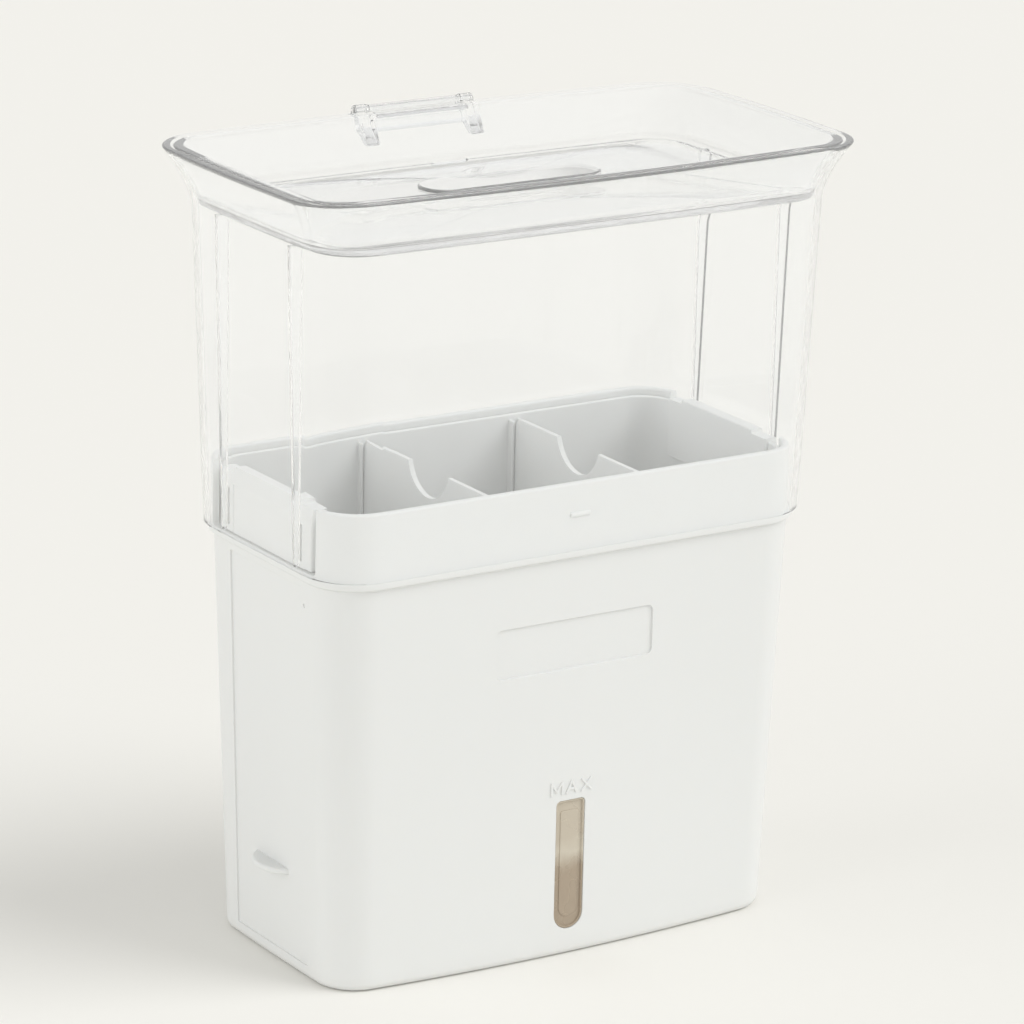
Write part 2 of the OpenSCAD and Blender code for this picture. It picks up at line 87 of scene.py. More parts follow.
@dataclass(frozen=True)
class Section:
    """A level outline: a rounded rectangle whose sides may bow outwards."""

    width: float
    depth: float
    radius: float
    end_bow: float
    side_bow: float
    z: float
    least_radius: ClassVar[float] = 0.8

    def inset(self, by: float) -> "Section":
        """The same outline, moved inwards on every side."""
        radius = max(self.radius - by, self.least_radius)
        return replace(self, width=self.width - 2 * by, depth=self.depth - 2 * by, radius=radius)

    def at(self, z: float) -> "Section":
        """The same outline at another height."""
        return replace(self, z=z)

    def toward(self, other: "Section", share: float, z: float) -> "Section":
        """An outline part of the way to another.

        Args:
            other: The outline at share 1.
            share: How far to go, from 0 to 1.
            z: Height of the result.

        Returns:
            The mixed outline.
        """
        mine = np.array(self.sizes())
        mixed = mine + (np.array(other.sizes()) - mine) * share
        return Section(*mixed.tolist(), z)

    def scaled(self, k: float, z: float) -> "Section":
        """The outline shrunk towards its middle, at another height."""
        return Section(*(size * k for size in self.sizes()), z)

    def sizes(self) -> tuple[float, float, float, float, float]:
        """Every size but the height."""
        return self.width, self.depth, self.radius, self.end_bow, self.side_bow

    def points(self) -> np.ndarray:
        """The outline as points.

        Returns:
            An array with one row per point, counterclockwise from above.
        """
        hx = self.width / 2 - self.end_bow
        hy = self.depth / 2 - self.side_bow
        flat = rounded_outline(hx, hy, (self.radius,) * 4, Steps())
        x, y = flat[:, 0], flat[:, 1]
        out_x = x * (1 + self.end_bow / hx * (1 - (y / hy) ** 2))
        out_y = y * (1 + self.side_bow / hy * (1 - (x / hx) ** 2))
        return np.column_stack([out_x, out_y, np.full(len(x), self.z)])


WallAt = Callable[[float], Section]


def rounded_outline(hx: float, hy: float, radii: Sequence[float], steps: Steps) -> np.ndarray:
    """Points of a rounded rectangle round the origin, counterclockwise.

    Args:
        hx: Half the width.
        hy: Half the height.
        radii: Radii of the corners, from +x +y counterclockwise.
        steps: Points per corner and per side.

    Returns:
        An array with a row of two numbers per point.
    """
    signs = ((1, 1), (-1, 1), (-1, -1), (1, -1))
    sides = (steps.long, steps.short, steps.long, steps.short)
    corners = []
    for turn, ((sx, sy), r) in enumerate(zip(signs, radii, strict=True)):
        angle = np.linspace(0, math.pi / 2, steps.corner + 1) + turn * math.pi / 2
        x, y = sx * (hx - r), sy * (hy - r)
        corners.append(np.column_stack([x + r * np.cos(angle), y + r * np.sin(angle)]))
    parts = []
    for turn, corner in enumerate(corners):
        following = corners[(turn + 1) % 4][0]
        share = np.linspace(0, 1, sides[turn] + 1)[1:-1, None]
        parts += [corner, corner[-1] + (following - corner[-1]) * share]
    return np.concatenate(parts)


def quarter(r: float, count: int) -> list[tuple[float, float]]:
    """A quarter round as (run, rise) pairs from (0, 0) to (r, r), flat first."""
    angles = [math.pi / 2 * i / count for i in range(count + 1)]
    return [(r * math.sin(a), r * (1 - math.cos(a))) for a in angles]


def floor_round(wall_at: WallAt, floor: float, r: float, count: int) -> list[Section]:
    """Rounded edge between a floor and its wall, from the floor up."""
    return [wall_at(floor + rise).inset(r - run) for run, rise in quarter(r, count)]


def lip_round(outer: WallAt, inner: WallAt, top: float, r: float, count: int) -> list[Section]:
    """Rounded lip on top of a wall.

    Args:
        outer: Outside of the wall at a height.
        inner: Inside of the wall at a height.
        top: Height of the lip.
        r: Radius of both edges.
        count: Steps of each edge.

    Returns:
        Sections that go up the outside and down the inside.
    """
    crown = quarter(r, count)[1:]
    up = [outer(top - r + run).inset(rise) for run, rise in crown]
    return up + [inner(top - r + run).inset(-rise) for run, rise in reversed(crown)]


# --------------------------------------------------------------------------
# Meshes
# --------------------------------------------------------------------------


class Op(Enum):
    """How one solid is combined with another."""

    JOIN = "UNION"
    CUT = "DIFFERENCE"
    KEEP_COMMON = "INTERSECT"


class Face(Enum):
    """Plane that a flat outline is drawn in, with the way it is extruded."""

    FRONT = "u is +X, v is +Z, in is +Y"
    LEVEL = "u is +X, v is +Y, in is -Z"
    END = "u is +Y, v is +Z, in is -X"

    def place(self, uv: np.ndarray, level: float) -> np.ndarray:
        """Puts flat points into space.

        Args:
            uv: A row of two numbers per point.
            level: Where they go along the face's normal.

        Returns:
            A row of three numbers per point.
        """
        u, v = uv[:, 0], uv[:, 1]
        flat = np.full(len(uv), level)
        order = {Face.FRONT: (u, flat, v), Face.LEVEL: (u, v, flat), Face.END: (flat, u, v)}
        return np.column_stack(order[self])


def new_object(name: str, mesh: bpy.types.Mesh) -> bpy.types.Object:
    """Links a mesh into the scene.

    Args:
        name: Name of the object.
        mesh: Its mesh.

    Returns:
        The new object, at the origin.
    """
    made = bpy.data.objects.new(name, mesh)
    bpy.context.scene.collection.objects.link(made)
    return made


def mesh_from(name: str, verts: np.ndarray, faces: list[tuple[int, ...]]) -> bpy.types.Object:
    """Makes a closed solid and turns its faces outwards.

    Args:
        name: Name of the object.
        verts: Points in millimetres.
        faces: Corner numbers of each face.

    Returns:
        The new object.
    """
    mesh = bpy.data.meshes.new(name)
    mesh.from_pydata((verts * MM).tolist(), [], faces)
    mesh.validate()
    bm = bmesh.new()
    bm.from_mesh(mesh)
    bmesh.ops.recalc_face_normals(bm, faces=bm.faces)
    bm.to_mesh(mesh)
    bm.free()
    return new_object(name, mesh)


def skin(name: str, rings: Sequence[np.ndarray], joined: bool = False) -> bpy.types.Object:
    """Draws a skin through rings of equal length.

    Args:
        name: Name of the object.
        rings: Closed rings of points, in order.
        joined: True to join the last ring to the first, False to cap both.

    Returns:
        The new solid.
    """
    n, m = len(rings[0]), len(rings)
    faces: list[tuple[int, ...]] = []
    for i in range(m if joined else m - 1):
        low, high = i * n, ((i + 1) % m) * n
        for j in range(n):
            k = (j + 1) % n
            faces.append((low + j, low + k, high + k, high + j))
    if not joined:
        faces.append(tuple(reversed(range(n))))
        faces.append(tuple((m - 1) * n + j for j in range(n)))
    return mesh_from(name, np.concatenate(rings), faces)


def sections_solid(
    name: str, sections: Iterable[Section], joined: bool = False
) -> bpy.types.Object:
    """A solid through level sections."""
    return skin(name, [section.points() for section in sections], joined)


def settle(piece: bpy.types.Object) -> bpy.types.Object:
    """Writes a piece's modifiers into its mesh and takes them off.

    Args:
        piece: Object with live modifiers.

    Returns:
        The same object with a plain mesh.
    """
    graph = bpy.context.evaluated_depsgraph_get()
    mesh = bpy.data.meshes.new_from_object(
        piece.evaluated_get(graph), preserve_all_data_layers=True, depsgraph=graph
    )
    old = piece.data
    piece.modifiers.clear()
    piece.data = mesh
    bpy.data.meshes.remove(old)
    return piece


def combine(body: bpy.types.Object, tool: bpy.types.Object, op: Op) -> bpy.types.Object:
    """Combines a body with a tool, which is used up.

    Args:
        body: Solid that is kept.
        tool: Solid that is joined or cut away.
        op: What to do with it.

    Returns:
        The changed body.
    """
    step = body.modifiers.new("combine", "BOOLEAN")
    step.object = tool
    step.operation = op.value
    step.solver = "MANIFOLD"
    settle(body)
    bpy.data.objects.remove(tool)
    return body


def combine_pair(body: bpy.types.Object, tool: bpy.types.Object, op: Op, axis: int = 0) -> None:
    """Combines a body with a tool and the tool's mirror image, both used up.

    Args:
        body: Solid that is kept and changed.
        tool: Solid on one side of the middle plane.
        op: What to do with both.
        axis: 0 to mirror X, 1 to mirror Y.
    """
    mesh = tool.data.copy()
    scale = [1.0, 1.0, 1.0, 1.0]
    scale[axis] = -1.0
    mesh.transform(Matrix.Diagonal(scale))
    mesh.flip_normals()
    combine(body, new_object(tool.name + "_other", mesh), op)
    combine(body, tool, op)


def smooth(piece: bpy.types.Object, angle: float = 32.0) -> None:
    """Shades a piece smooth.

    Args:
        piece: Solid to shade.
        angle: Turn between two faces, in degrees, from which their edge is a crease.
    """
    piece.data.shade_smooth()
    piece.data.set_sharp_from_angle(angle=math.radians(angle))
    step = piece.modifiers.new("even normals", "WEIGHTED_NORMAL")
    step.keep_sharp = True
    settle(piece)


@dataclass(frozen=True)
class Patch:
    """A flat rounded outline that can grow, for recesses, pads and panes."""

    u: float
    v: float
    width: float
    height: float
    radii: tuple[float, float, float, float]
    steps: Steps
    least_radius: ClassVar[float] = 0.12

    def outline(self, grow: float) -> np.ndarray:
        """The outline's points, grown outwards.

        Args:
            grow: How far, in millimetres.

        Returns:
            A row of two numbers per point.
        """
        hx, hy = self.width / 2 + grow, self.height / 2 + grow
        radii = tuple(min(max(r + grow, self.least_radius), hx, hy) for r in self.radii)
        return rounded_outline(hx, hy, radii, self.steps) + (self.u, self.v)

    def solid(
        self, name: str, face: Face, profile: Iterable[tuple[float, float]]
    ) -> bpy.types.Object:
        """A solid through grown outlines, given as pairs of growth and level."""
        return skin(name, [face.place(self.outline(grow), level) for grow, level in profile])


def turned(
    name: str,
    face: Face,
    centre: tuple[float, float],
    profile: Iterable[tuple[float, float]],
    segments: int,
) -> bpy.types.Object:
    """A round solid.

    Args:
        name: Name of the object.
        face: Plane of its ends.
        centre: Its centre in that plane.
        profile: Pairs of radius and level, in order.
        segments: Number of its sides.

    Returns:
        The new solid.
    """
    turn = np.linspace(0, 2 * math.pi, segments, endpoint=False)
    circle = np.column_stack([np.cos(turn), np.sin(turn)])
    return skin(name, [face.place(circle * r + centre, level) for r, level in profile])


def round_bar(
    name: str,
    face: Face,
    centre: tuple[float, float],
    span: tuple[float, float],
    radius: float,
    soft: float = 0.3,
    segments: int = 48,
    steps: int = 4,
) -> bpy.types.Object:
    """A rod or disc with softened ends.

    Args:
        name: Name of the object.
        face: Plane of its ends.
        centre: Centre of its ends in that plane.
        span: Levels of its two ends.
        radius: Its radius.
        soft: Radius of the softening at both ends.
        segments: Number of its sides.
        steps: Steps of the softening.

    Returns:
        The new solid.
    """
    low, high = span
    ends = [(radius - soft + run, rise) for run, rise in quarter(soft, steps)]
    profile = [(r, low + rise) for r, rise in ends]
    profile += [(r, high - rise) for r, rise in reversed(ends)]
    return turned(name, face, centre, profile, segments)


def soften(bm: bmesh.types.BMesh, soft: float, segments: int) -> None:
    """Rounds every edge of a mesh.

    Args:
        bm: Mesh to change.
        soft: Radius of the rounding, in millimetres.
        segments: Steps of the rounding.
    """
    bmesh.ops.bevel(
        bm,
        geom=list(bm.edges),
        offset=soft * MM,
        segments=segments,
        profile=0.5,
        affect="EDGES",
        clamp_overlap=True,
    )


def soft_block(
    name: str, low: Sequence[float], high: Sequence[float], soft: float
) -> bpy.types.Object:
    """A block with rounded edges and corners.

    Args:
        name: Name of the object.
        low: Its lowest corner.
        high: Its highest corner.
        soft: Radius of its edges.

    Returns:
        The new solid.
    """
    bm = bmesh.new()
    bmesh.ops.create_cube(bm, size=1.0)
    bmesh.ops.scale(bm, vec=(Vector(high) - Vector(low)) * MM, verts=bm.verts)
    bmesh.ops.translate(bm, vec=(Vector(high) + Vector(low)) / 2 * MM, verts=bm.verts)
    soften(bm, soft, 4)
    mesh = bpy.data.meshes.new(name)
    bm.to_mesh(mesh)
    bm.free()
    return new_object(name, mesh)


def soft_bar(
    name: str,
    face: Face,
    profile: Sequence[tuple[float, float]],
    span: tuple[float, float],
    soft: float,
) -> bpy.types.Object:
    """A bar of constant profile with softened edges.

    Args:
        name: Name of the object.
        face: Plane of the profile.
        profile: Corners of the profile in that plane.
        span: Levels of its two ends.
        soft: Radius of its edges.

    Returns:
        The new solid.
    """
    flat = np.array(profile, float)
    n = len(flat)
    verts = np.concatenate([face.place(flat, level) for level in span])
    faces: list[tuple[int, ...]] = [tuple(range(n)), tuple(range(2 * n - 1, n - 1, -1))]
    faces += [(i, i + n, (i + 1) % n + n, (i + 1) % n) for i in range(n)]
    made = mesh_from(name, verts, faces)
    bm = bmesh.new()
    bm.from_mesh(made.data)
    soften(bm, soft, 3)
    bm.to_mesh(made.data)
    bm.free()
    return made


# --------------------------------------------------------------------------
# Nodes
# --------------------------------------------------------------------------


class Nodes:
    """A node tree, with one method that adds any node."""

    def __init__(self, tree: bpy.types.NodeTree) -> None:
        """Wraps a tree."""
        self.tree = tree

    def node(
        self,
        kind: str,
        sockets: dict[str | int, object] | None = None,
        settings: dict[str, object] | None = None,
    ) -> bpy.types.Node:
        """Adds a node.

        Args:
            kind: Its type.
            sockets: Values or links by input name or number.
            settings: Its properties, set first; a ramp has its stops.

        Returns:
            The new node.
        """
        made = self.tree.nodes.new(kind)
        for key, value in (settings or {}).items():
            if key == "stops":
                self.set_stops(made.color_ramp.elements, value)
            else:
                setattr(made, key, value)
        for key, value in (sockets or {}).items():
            self.feed(made.inputs[key], value)
        return made

    @staticmethod
    def set_stops(
        elements: bpy.types.ColorRampElements,
        stops: Sequence[tuple[float, tuple[float, float, float]]],
    ) -> None:
        """Sets the stops of a new ramp.

        Args:
            elements: The ramp's two elements.
            stops: Places and colours, in order.
        """
        elements[0].position, elements[1].position = stops[0][0], stops[-1][0]
        for position, _ in stops[1:-1]:
            elements.new(position)
        for element, (_, colour) in zip(elements, stops, strict=True):
            element.color = (*colour, 1.0)

    def feed(self, place: bpy.types.NodeSocket, value: object) -> None:
        """Sets an input to a value, or links it.

        Args:
            place: The input.
            value: A number, a colour, a socket, or a node for its first output.
        """
        if isinstance(value, Value):
            value = value.socket
        elif isinstance(value, bpy.types.Node):
            value = value.outputs[0]
        if isinstance(value, bpy.types.NodeSocket):
            self.tree.links.new(value, place)
        elif place.type == "RGBA":
            place.default_value = (*value, 1.0)
        else:
            place.default_value = value

    def mix(self, factor: object, low: object, high: object) -> bpy.types.NodeSocket:
        """A colour between two."""
        sockets = {0: factor, 6: low, 7: high}
        return self.node("ShaderNodeMix", sockets, {"data_type": "RGBA"}).outputs[2]


class Value:
    """A number socket whose Python operators add Math nodes."""

    def __init__(self, nodes: Nodes, socket: bpy.types.NodeSocket) -> None:
        """Wraps one output socket of a tree."""
        self.nodes = nodes
        self.socket = socket

    def math(self, operation: str, first: "Value | float", second: "Value | float") -> "Value":
        """The result of a Math node."""
        made = self.nodes.node("ShaderNodeMath", {0: first, 1: second}, {"operation": operation})
        return Value(self.nodes, made.outputs[0])

    def __add__(self, other: "Value | float") -> "Value":
        """Sum."""
        return self.math("ADD", self, other)

    def __radd__(self, other: float) -> "Value":
        """Sum, from the right."""
        return self.math("ADD", other, self)

    def __sub__(self, other: "Value | float") -> "Value":
        """Difference."""
        return self.math("SUBTRACT", self, other)

    def __rsub__(self, other: float) -> "Value":
        """Difference, from the right."""
        return self.math("SUBTRACT", other, self)

    def __mul__(self, other: "Value | float") -> "Value":
        """Product."""
        return self.math("MULTIPLY", self, other)

    def __rmul__(self, other: float) -> "Value":
        """Product, from the right."""
        return self.math("MULTIPLY", other, self)

    def __truediv__(self, other: "Value | float") -> "Value":
        """Quotient."""
        return self.math("DIVIDE", self, other)

    def __rtruediv__(self, other: float) -> "Value":
        """Quotient, from the right."""
        return self.math("DIVIDE", other, self)

    def __gt__(self, other: "Value | float") -> "Value":
        """One where this is greater, else zero."""
        return self.math("GREATER_THAN", self, other)

    def most(self, other: "Value | float") -> "Value":
        """The higher of two."""
        return self.math("MAXIMUM", self, other)

    def clamped(self) -> "Value":
        """This, kept from 0 to 1."""
        return self.math("MINIMUM", self.most(0.0), 1.0)


@dataclass(frozen=True)
class Grid:
    """Places for copies of one shape: columns and rows with their offsets."""

    start: tuple[float, float, float]
    column: tuple[float, float, float]
    row: tuple[float, float, float]
    columns: int
    rows: int


class CopyTree:
    """Geometry Nodes tree that sets copies of a shape on a grid."""

    INPUTS = {
        "Start": "Vector",
        "Column offset": "Vector",
        "Row offset": "Vector",
        "Columns": "Int",
        "Rows": "Int",
        "Material": "Material",
    }

    def __init__(self) -> None:
        """Builds the tree with its named inputs."""
        self.tree = bpy.data.node_groups.new("copies on a grid", "GeometryNodeTree")
        self.socket("Shape", "Geometry", "INPUT")
        self.ids = {name: self.socket(name, kind, "INPUT") for name, kind in self.INPUTS.items()}
        self.socket("Copies", "Geometry", "OUTPUT")
        n = Nodes(self.tree)
        given = n.node("NodeGroupInput").outputs
        columns = n.node(
            "GeometryNodeMeshLine",
            {
                "Start Location": given["Start"],
                "Count": given["Columns"],
                "Offset": given["Column offset"],
            },
        )
        rows = n.node(
            "GeometryNodeMeshLine", {"Count": given["Rows"], "Offset": given["Row offset"]}
        )
        spread = n.node("GeometryNodeInstanceOnPoints", {"Points": columns, "Instance": rows})
        places = n.node("GeometryNodeRealizeInstances", {"Geometry": spread})
        copies = n.node(
            "GeometryNodeInstanceOnPoints", {"Points": places, "Instance": given["Shape"]}
        )
        real = n.node("GeometryNodeRealizeInstances", {"Geometry": copies})
        dressed = n.node(
            "GeometryNodeSetMaterial", {"Geometry": real, "Material": given["Material"]}
        )
        n.node("NodeGroupOutput", {"Copies": dressed})

    def socket(self, name: str, kind: str, way: str) -> str:
        """Adds a socket to the tree's interface and gives its identifier."""
        sockets = self.tree.interface
        return sockets.new_socket(name, in_out=way, socket_type=f"NodeSocket{kind}").identifier

    def repeat(
        self, shape: bpy.types.Object, grid: Grid, material: bpy.types.Material
    ) -> bpy.types.Object:
        """Turns a shape into its copies.

        Args:
            shape: Solid drawn at the origin.
            grid: Where its copies go.
            material: Material of the copies.

        Returns:
            The same object, holding every copy as a plain mesh.
        """
        step = shape.modifiers.new("copies", "NODES")
        step.node_group = self.tree
        values = {
            "Start": [v * MM for v in grid.start],
            "Column offset": [v * MM for v in grid.column],
            "Row offset": [v * MM for v in grid.row],
            "Columns": grid.columns,
            "Rows": grid.rows,
            "Material": material,
        }
        for name, value in values.items():
            step[self.ids[name]] = value
        return settle(shape)


# --------------------------------------------------------------------------
# Finishes
# --------------------------------------------------------------------------

Colour = tuple[float, float, float]


@dataclass(frozen=True)
class Grain:
    """A noise in the piece's own coordinates, which may be stretched."""

    scale: float
    detail: float = 2.0
    rough: float = 0.5
    stretch: tuple[float, float, float] = (1.0, 1.0, 1.0)


class Shader(Nodes):
    """A material's node tree."""

    def __init__(self, name: str) -> None:
        """Starts an empty material.

        Args:
            name: Its name.
        """
        self.material = bpy.data.materials.new(name)
        self.material.use_nodes = True
        super().__init__(self.material.node_tree)
        self.tree.nodes.clear()
        self.place = self.node("ShaderNodeTexCoord").outputs["Object"]

    def noise(self, grain: Grain) -> Value:
        """A noise from 0 to 1.

        Args:
            grain: Its sizes.

        Returns:
            Its value.
        """
        vector = self.node("ShaderNodeMapping", {"Vector": self.place, "Scale": grain.stretch})
        sockets = {
            "Vector": vector,
            "Scale": grain.scale,
            "Detail": grain.detail,
            "Roughness": grain.rough,
        }
        return Value(self, self.node("ShaderNodeTexNoise", sockets).outputs[0])

    def height(self) -> Value:
        """Height above the base, in metres."""
        split = self.node("ShaderNodeSeparateXYZ", {"Vector": self.place})
        return Value(self, split.outputs["Z"])

    def bump(self, height: Value, strength: float, distance: float) -> bpy.types.Node:
        """A surface normal with a relief."""
        sockets = {"Height": height, "Strength": strength, "Distance": distance}
        return self.node("ShaderNodeBump", sockets)

    def surface(self, shader: bpy.types.Node) -> bpy.types.Material:
        """Links the finished shader to the output."""
        self.node("ShaderNodeOutputMaterial", {"Surface": shader})
        return self.material


@dataclass(frozen=True)
class MouldedWhite:
    """White injection-moulded plastic with a fine satin grain."""

    pale: Colour = (0.80, 0.81, 0.80)
    deep: Colour = (0.78, 0.789, 0.779)
    worn: Colour = (0.66, 0.64, 0.60)
    roughness: float = 0.32
    cloud_dull: float = 0.06
    grain_dull: float = 0.04
    relief: float = 0.05
    relief_depth: float = 0.0002
    scuff_height: float = 0.006
    scuff_tone: float = 0.25
    scuff_dull: float = 0.2
    cloud: Grain = Grain(14.0, 3.0, 0.55)
    flow: Grain = Grain(1.0, stretch=(60.0, 60.0, 6.0))
    grain: Grain = Grain(1500.0, 2.0, 0.6)
    pores: Grain = Grain(420.0, 1.0)
    rubbed: Grain = Grain(220.0, 3.0)

    def build(self) -> bpy.types.Material:
        """Builds the finish.

        Returns:
            The material.
        """
        s = Shader("moulded_white")
        cloud, flow, grain = s.noise(self.cloud), s.noise(self.flow), s.noise(self.grain)
        scuff = (1.0 - s.height() / self.scuff_height).clamped() * s.noise(self.rubbed)
        tone = s.mix((cloud * 0.6 + flow * 0.4).clamped(), self.deep, self.pale)
        relief = grain * 0.6 + s.noise(self.pores) * 0.4 + flow * 0.5
        dull = self.roughness + cloud * self.cloud_dull + grain * self.grain_dull
        sockets = {
            "Base Color": s.mix(scuff * self.scuff_tone, tone, self.worn),
            "Roughness": dull + scuff * self.scuff_dull,
            "IOR": 1.49,
            "Coat Weight": 0.12,
            "Coat Roughness": 0.18,
            "Subsurface Weight": 0.08,
            "Subsurface Radius": (0.004, 0.0035, 0.003),
            "Subsurface Scale": 0.5,
            "Normal": s.bump(relief, self.relief, self.relief_depth),
        }
        return s.surface(s.node("ShaderNodeBsdfPrincipled", sockets))


@dataclass(frozen=True)
class ClearPlastic:
    """Clear moulded plastic: polished, with faint waves and handling marks."""

    tint: Colour = (0.994, 0.997, 0.999)
    shadow: Colour = (0.99, 0.992, 0.992)
    roughness: float = 0.015
    haze_from: float = 0.52
    haze_gain: float = 2.0
    haze_dull: float = 0.05
    marks_from: float = 0.72
    marks_dull: float = 0.05
    ior: float = 1.45
    milk: float = 0.075
    deepest: float = 7.0
    ripple: float = 0.025
    ripple_depth: float = 0.0015
    wave: Grain = Grain(26.0, 1.0, stretch=(1.0, 1.0, 0.35))
    marks: Grain = Grain(900.0, 2.0, 0.7, (1.0, 1.0, 0.12))
    haze: Grain = Grain(18.0, 3.0)

    def build(self) -> bpy.types.Material:
        """Builds the finish, which lets light and rays bent too often straight through.

        Returns:
            The material.
        """
        s = Shader("clear_plastic")
        haze = ((s.noise(self.haze) - self.haze_from) * self.haze_gain).clamped()
        marks = s.noise(self.marks) > self.marks_from
        sockets = {
            "Base Color": self.tint,
            "Roughness": self.roughness + haze * self.haze_dull + marks * self.marks_dull,
            "IOR": self.ior,
            "Transmission Weight": 1.0 - self.milk,
            "Normal": s.bump(s.noise(self.wave), self.ripple, self.ripple_depth),
        }
        glass = s.node("ShaderNodeBsdfPrincipled", sockets)
        through = s.node("ShaderNodeBsdfTransparent", {"Color": self.shadow})
        rays = s.node("ShaderNodeLightPath").outputs
        shadow, bounce, depth = (
            Value(s, rays[name]) for name in ("Is Shadow Ray", "Is Diffuse Ray", "Ray Depth")
        )
        straight = shadow.most(bounce).most(depth > self.deepest)
        return s.surface(s.node("ShaderNodeMixShader", {0: straight, 1: glass, 2: through}))


@dataclass(frozen=True)
class SmokyPlastic:
    """Tinted plastic of the water window, darker towards the bottom and streaked."""

    low: Colour = (0.46, 0.375, 0.28)
    middle: Colour = (0.71, 0.65, 0.535)
    high: Colour = (0.64, 0.57, 0.46)
    bottom: float = 0.0135
    top: float = 0.0515
    cloud_shift: float = 0.25
    streak_shift: float = 0.12
    roughness: float = 0.22
    cloud_dull: float = 0.12
    streak: Grain = Grain(520.0, stretch=(1.0, 1.0, 0.18))
    cloud: Grain = Grain(90.0)

    def build(self) -> bpy.types.Material:
        """Builds the finish.

        Returns:
            The material.
        """
        s = Shader("smoky_plastic")
        streak, cloud = s.noise(self.streak), s.noise(self.cloud)
        up = ((s.height() - self.bottom) / (self.top - self.bottom)).clamped()
        shift = up + (cloud - 0.5) * self.cloud_shift
        bend = (shift + (streak - 0.5) * self.streak_shift).clamped()
        stops = (
            (0.12, self.low),
            (0.42, self.low),
            (0.62, self.middle),
            (0.78, self.high),
            (0.98, self.high),
        )
        sockets = {
            "Base Color": s.node("ShaderNodeValToRGB", {0: bend}, {"stops": stops}),
            "Roughness": self.roughness + cloud * self.cloud_dull,
            "IOR": 1.49,
            "Transmission Weight": 0.15,
            "Normal": s.bump(streak, 0.08, 0.0003),
        }
        return s.surface(s.node("ShaderNodeBsdfPrincipled", sockets))


@dataclass(frozen=True)
class SealRubber:
    """Soft grey gasket rubber with a dull, slightly mottled skin."""

    dark: Colour = (0.44, 0.43, 0.41)
    light: Colour = (0.56, 0.55, 0.53)
    roughness: float = 0.7
    mottle_dull: float = 0.15
    mottle: Grain = Grain(800.0, 3.0)

    def build(self) -> bpy.types.Material:
        """Builds the finish.

        Returns:
            The material.
        """
        s = Shader("seal_rubber")
        mottle = s.noise(self.mottle)
        sockets = {
            "Base Color": s.mix(mottle, self.dark, self.light),
            "Roughness": self.roughness + mottle * self.mottle_dull,
            "Normal": s.bump(mottle, 0.2, 0.0001),
        }
        return s.surface(s.node("ShaderNodeBsdfPrincipled", sockets))


@dataclass(frozen=True)
class StudioFloor:
    """Warm pale studio sheet that keeps the keeper's shadow."""

    colour: Colour = (0.90, 0.889, 0.852)
    dimmest: float = 0.985
    fibre: Grain = Grain(240.0, 3.0)
    cloud: Grain = Grain(1.6)

    def build(self) -> bpy.types.Material:
        """Builds the finish.

        Returns:
            The material.
        """
        s = Shader("studio_sheet")
        tone = (s.noise(self.cloud) * 0.7 + s.noise(self.fibre) * 0.3).clamped()
        dim = tuple(c * self.dimmest for c in self.colour)
        sockets = {"Color": s.mix(tone, dim, self.colour), "Roughness": 0.0}
        return s.surface(s.node("ShaderNodeBsdfDiffuse", sockets))


@dataclass
class Finishes:
    """Every material of the keeper, built once."""

    white: bpy.types.Material = field(default_factory=lambda: MouldedWhite().build())
    clear: bpy.types.Material = field(default_factory=lambda: ClearPlastic().build())
    smoky: bpy.types.Material = field(default_factory=lambda: SmokyPlastic().build())
    rubber: bpy.types.Material = field(default_factory=lambda: SealRubber().build())


def dress(piece: bpy.types.Object, material: bpy.types.Material) -> None:
    """Gives every face of a piece one material.

    Args:
        piece: The piece.
        material: Its material.
    """
    piece.data.materials.clear()
    piece.data.materials.append(material)
    for polygon in piece.data.polygons:
        polygon.material_index = 0


# --------------------------------------------------------------------------
# The keeper's shape
# --------------------------------------------------------------------------


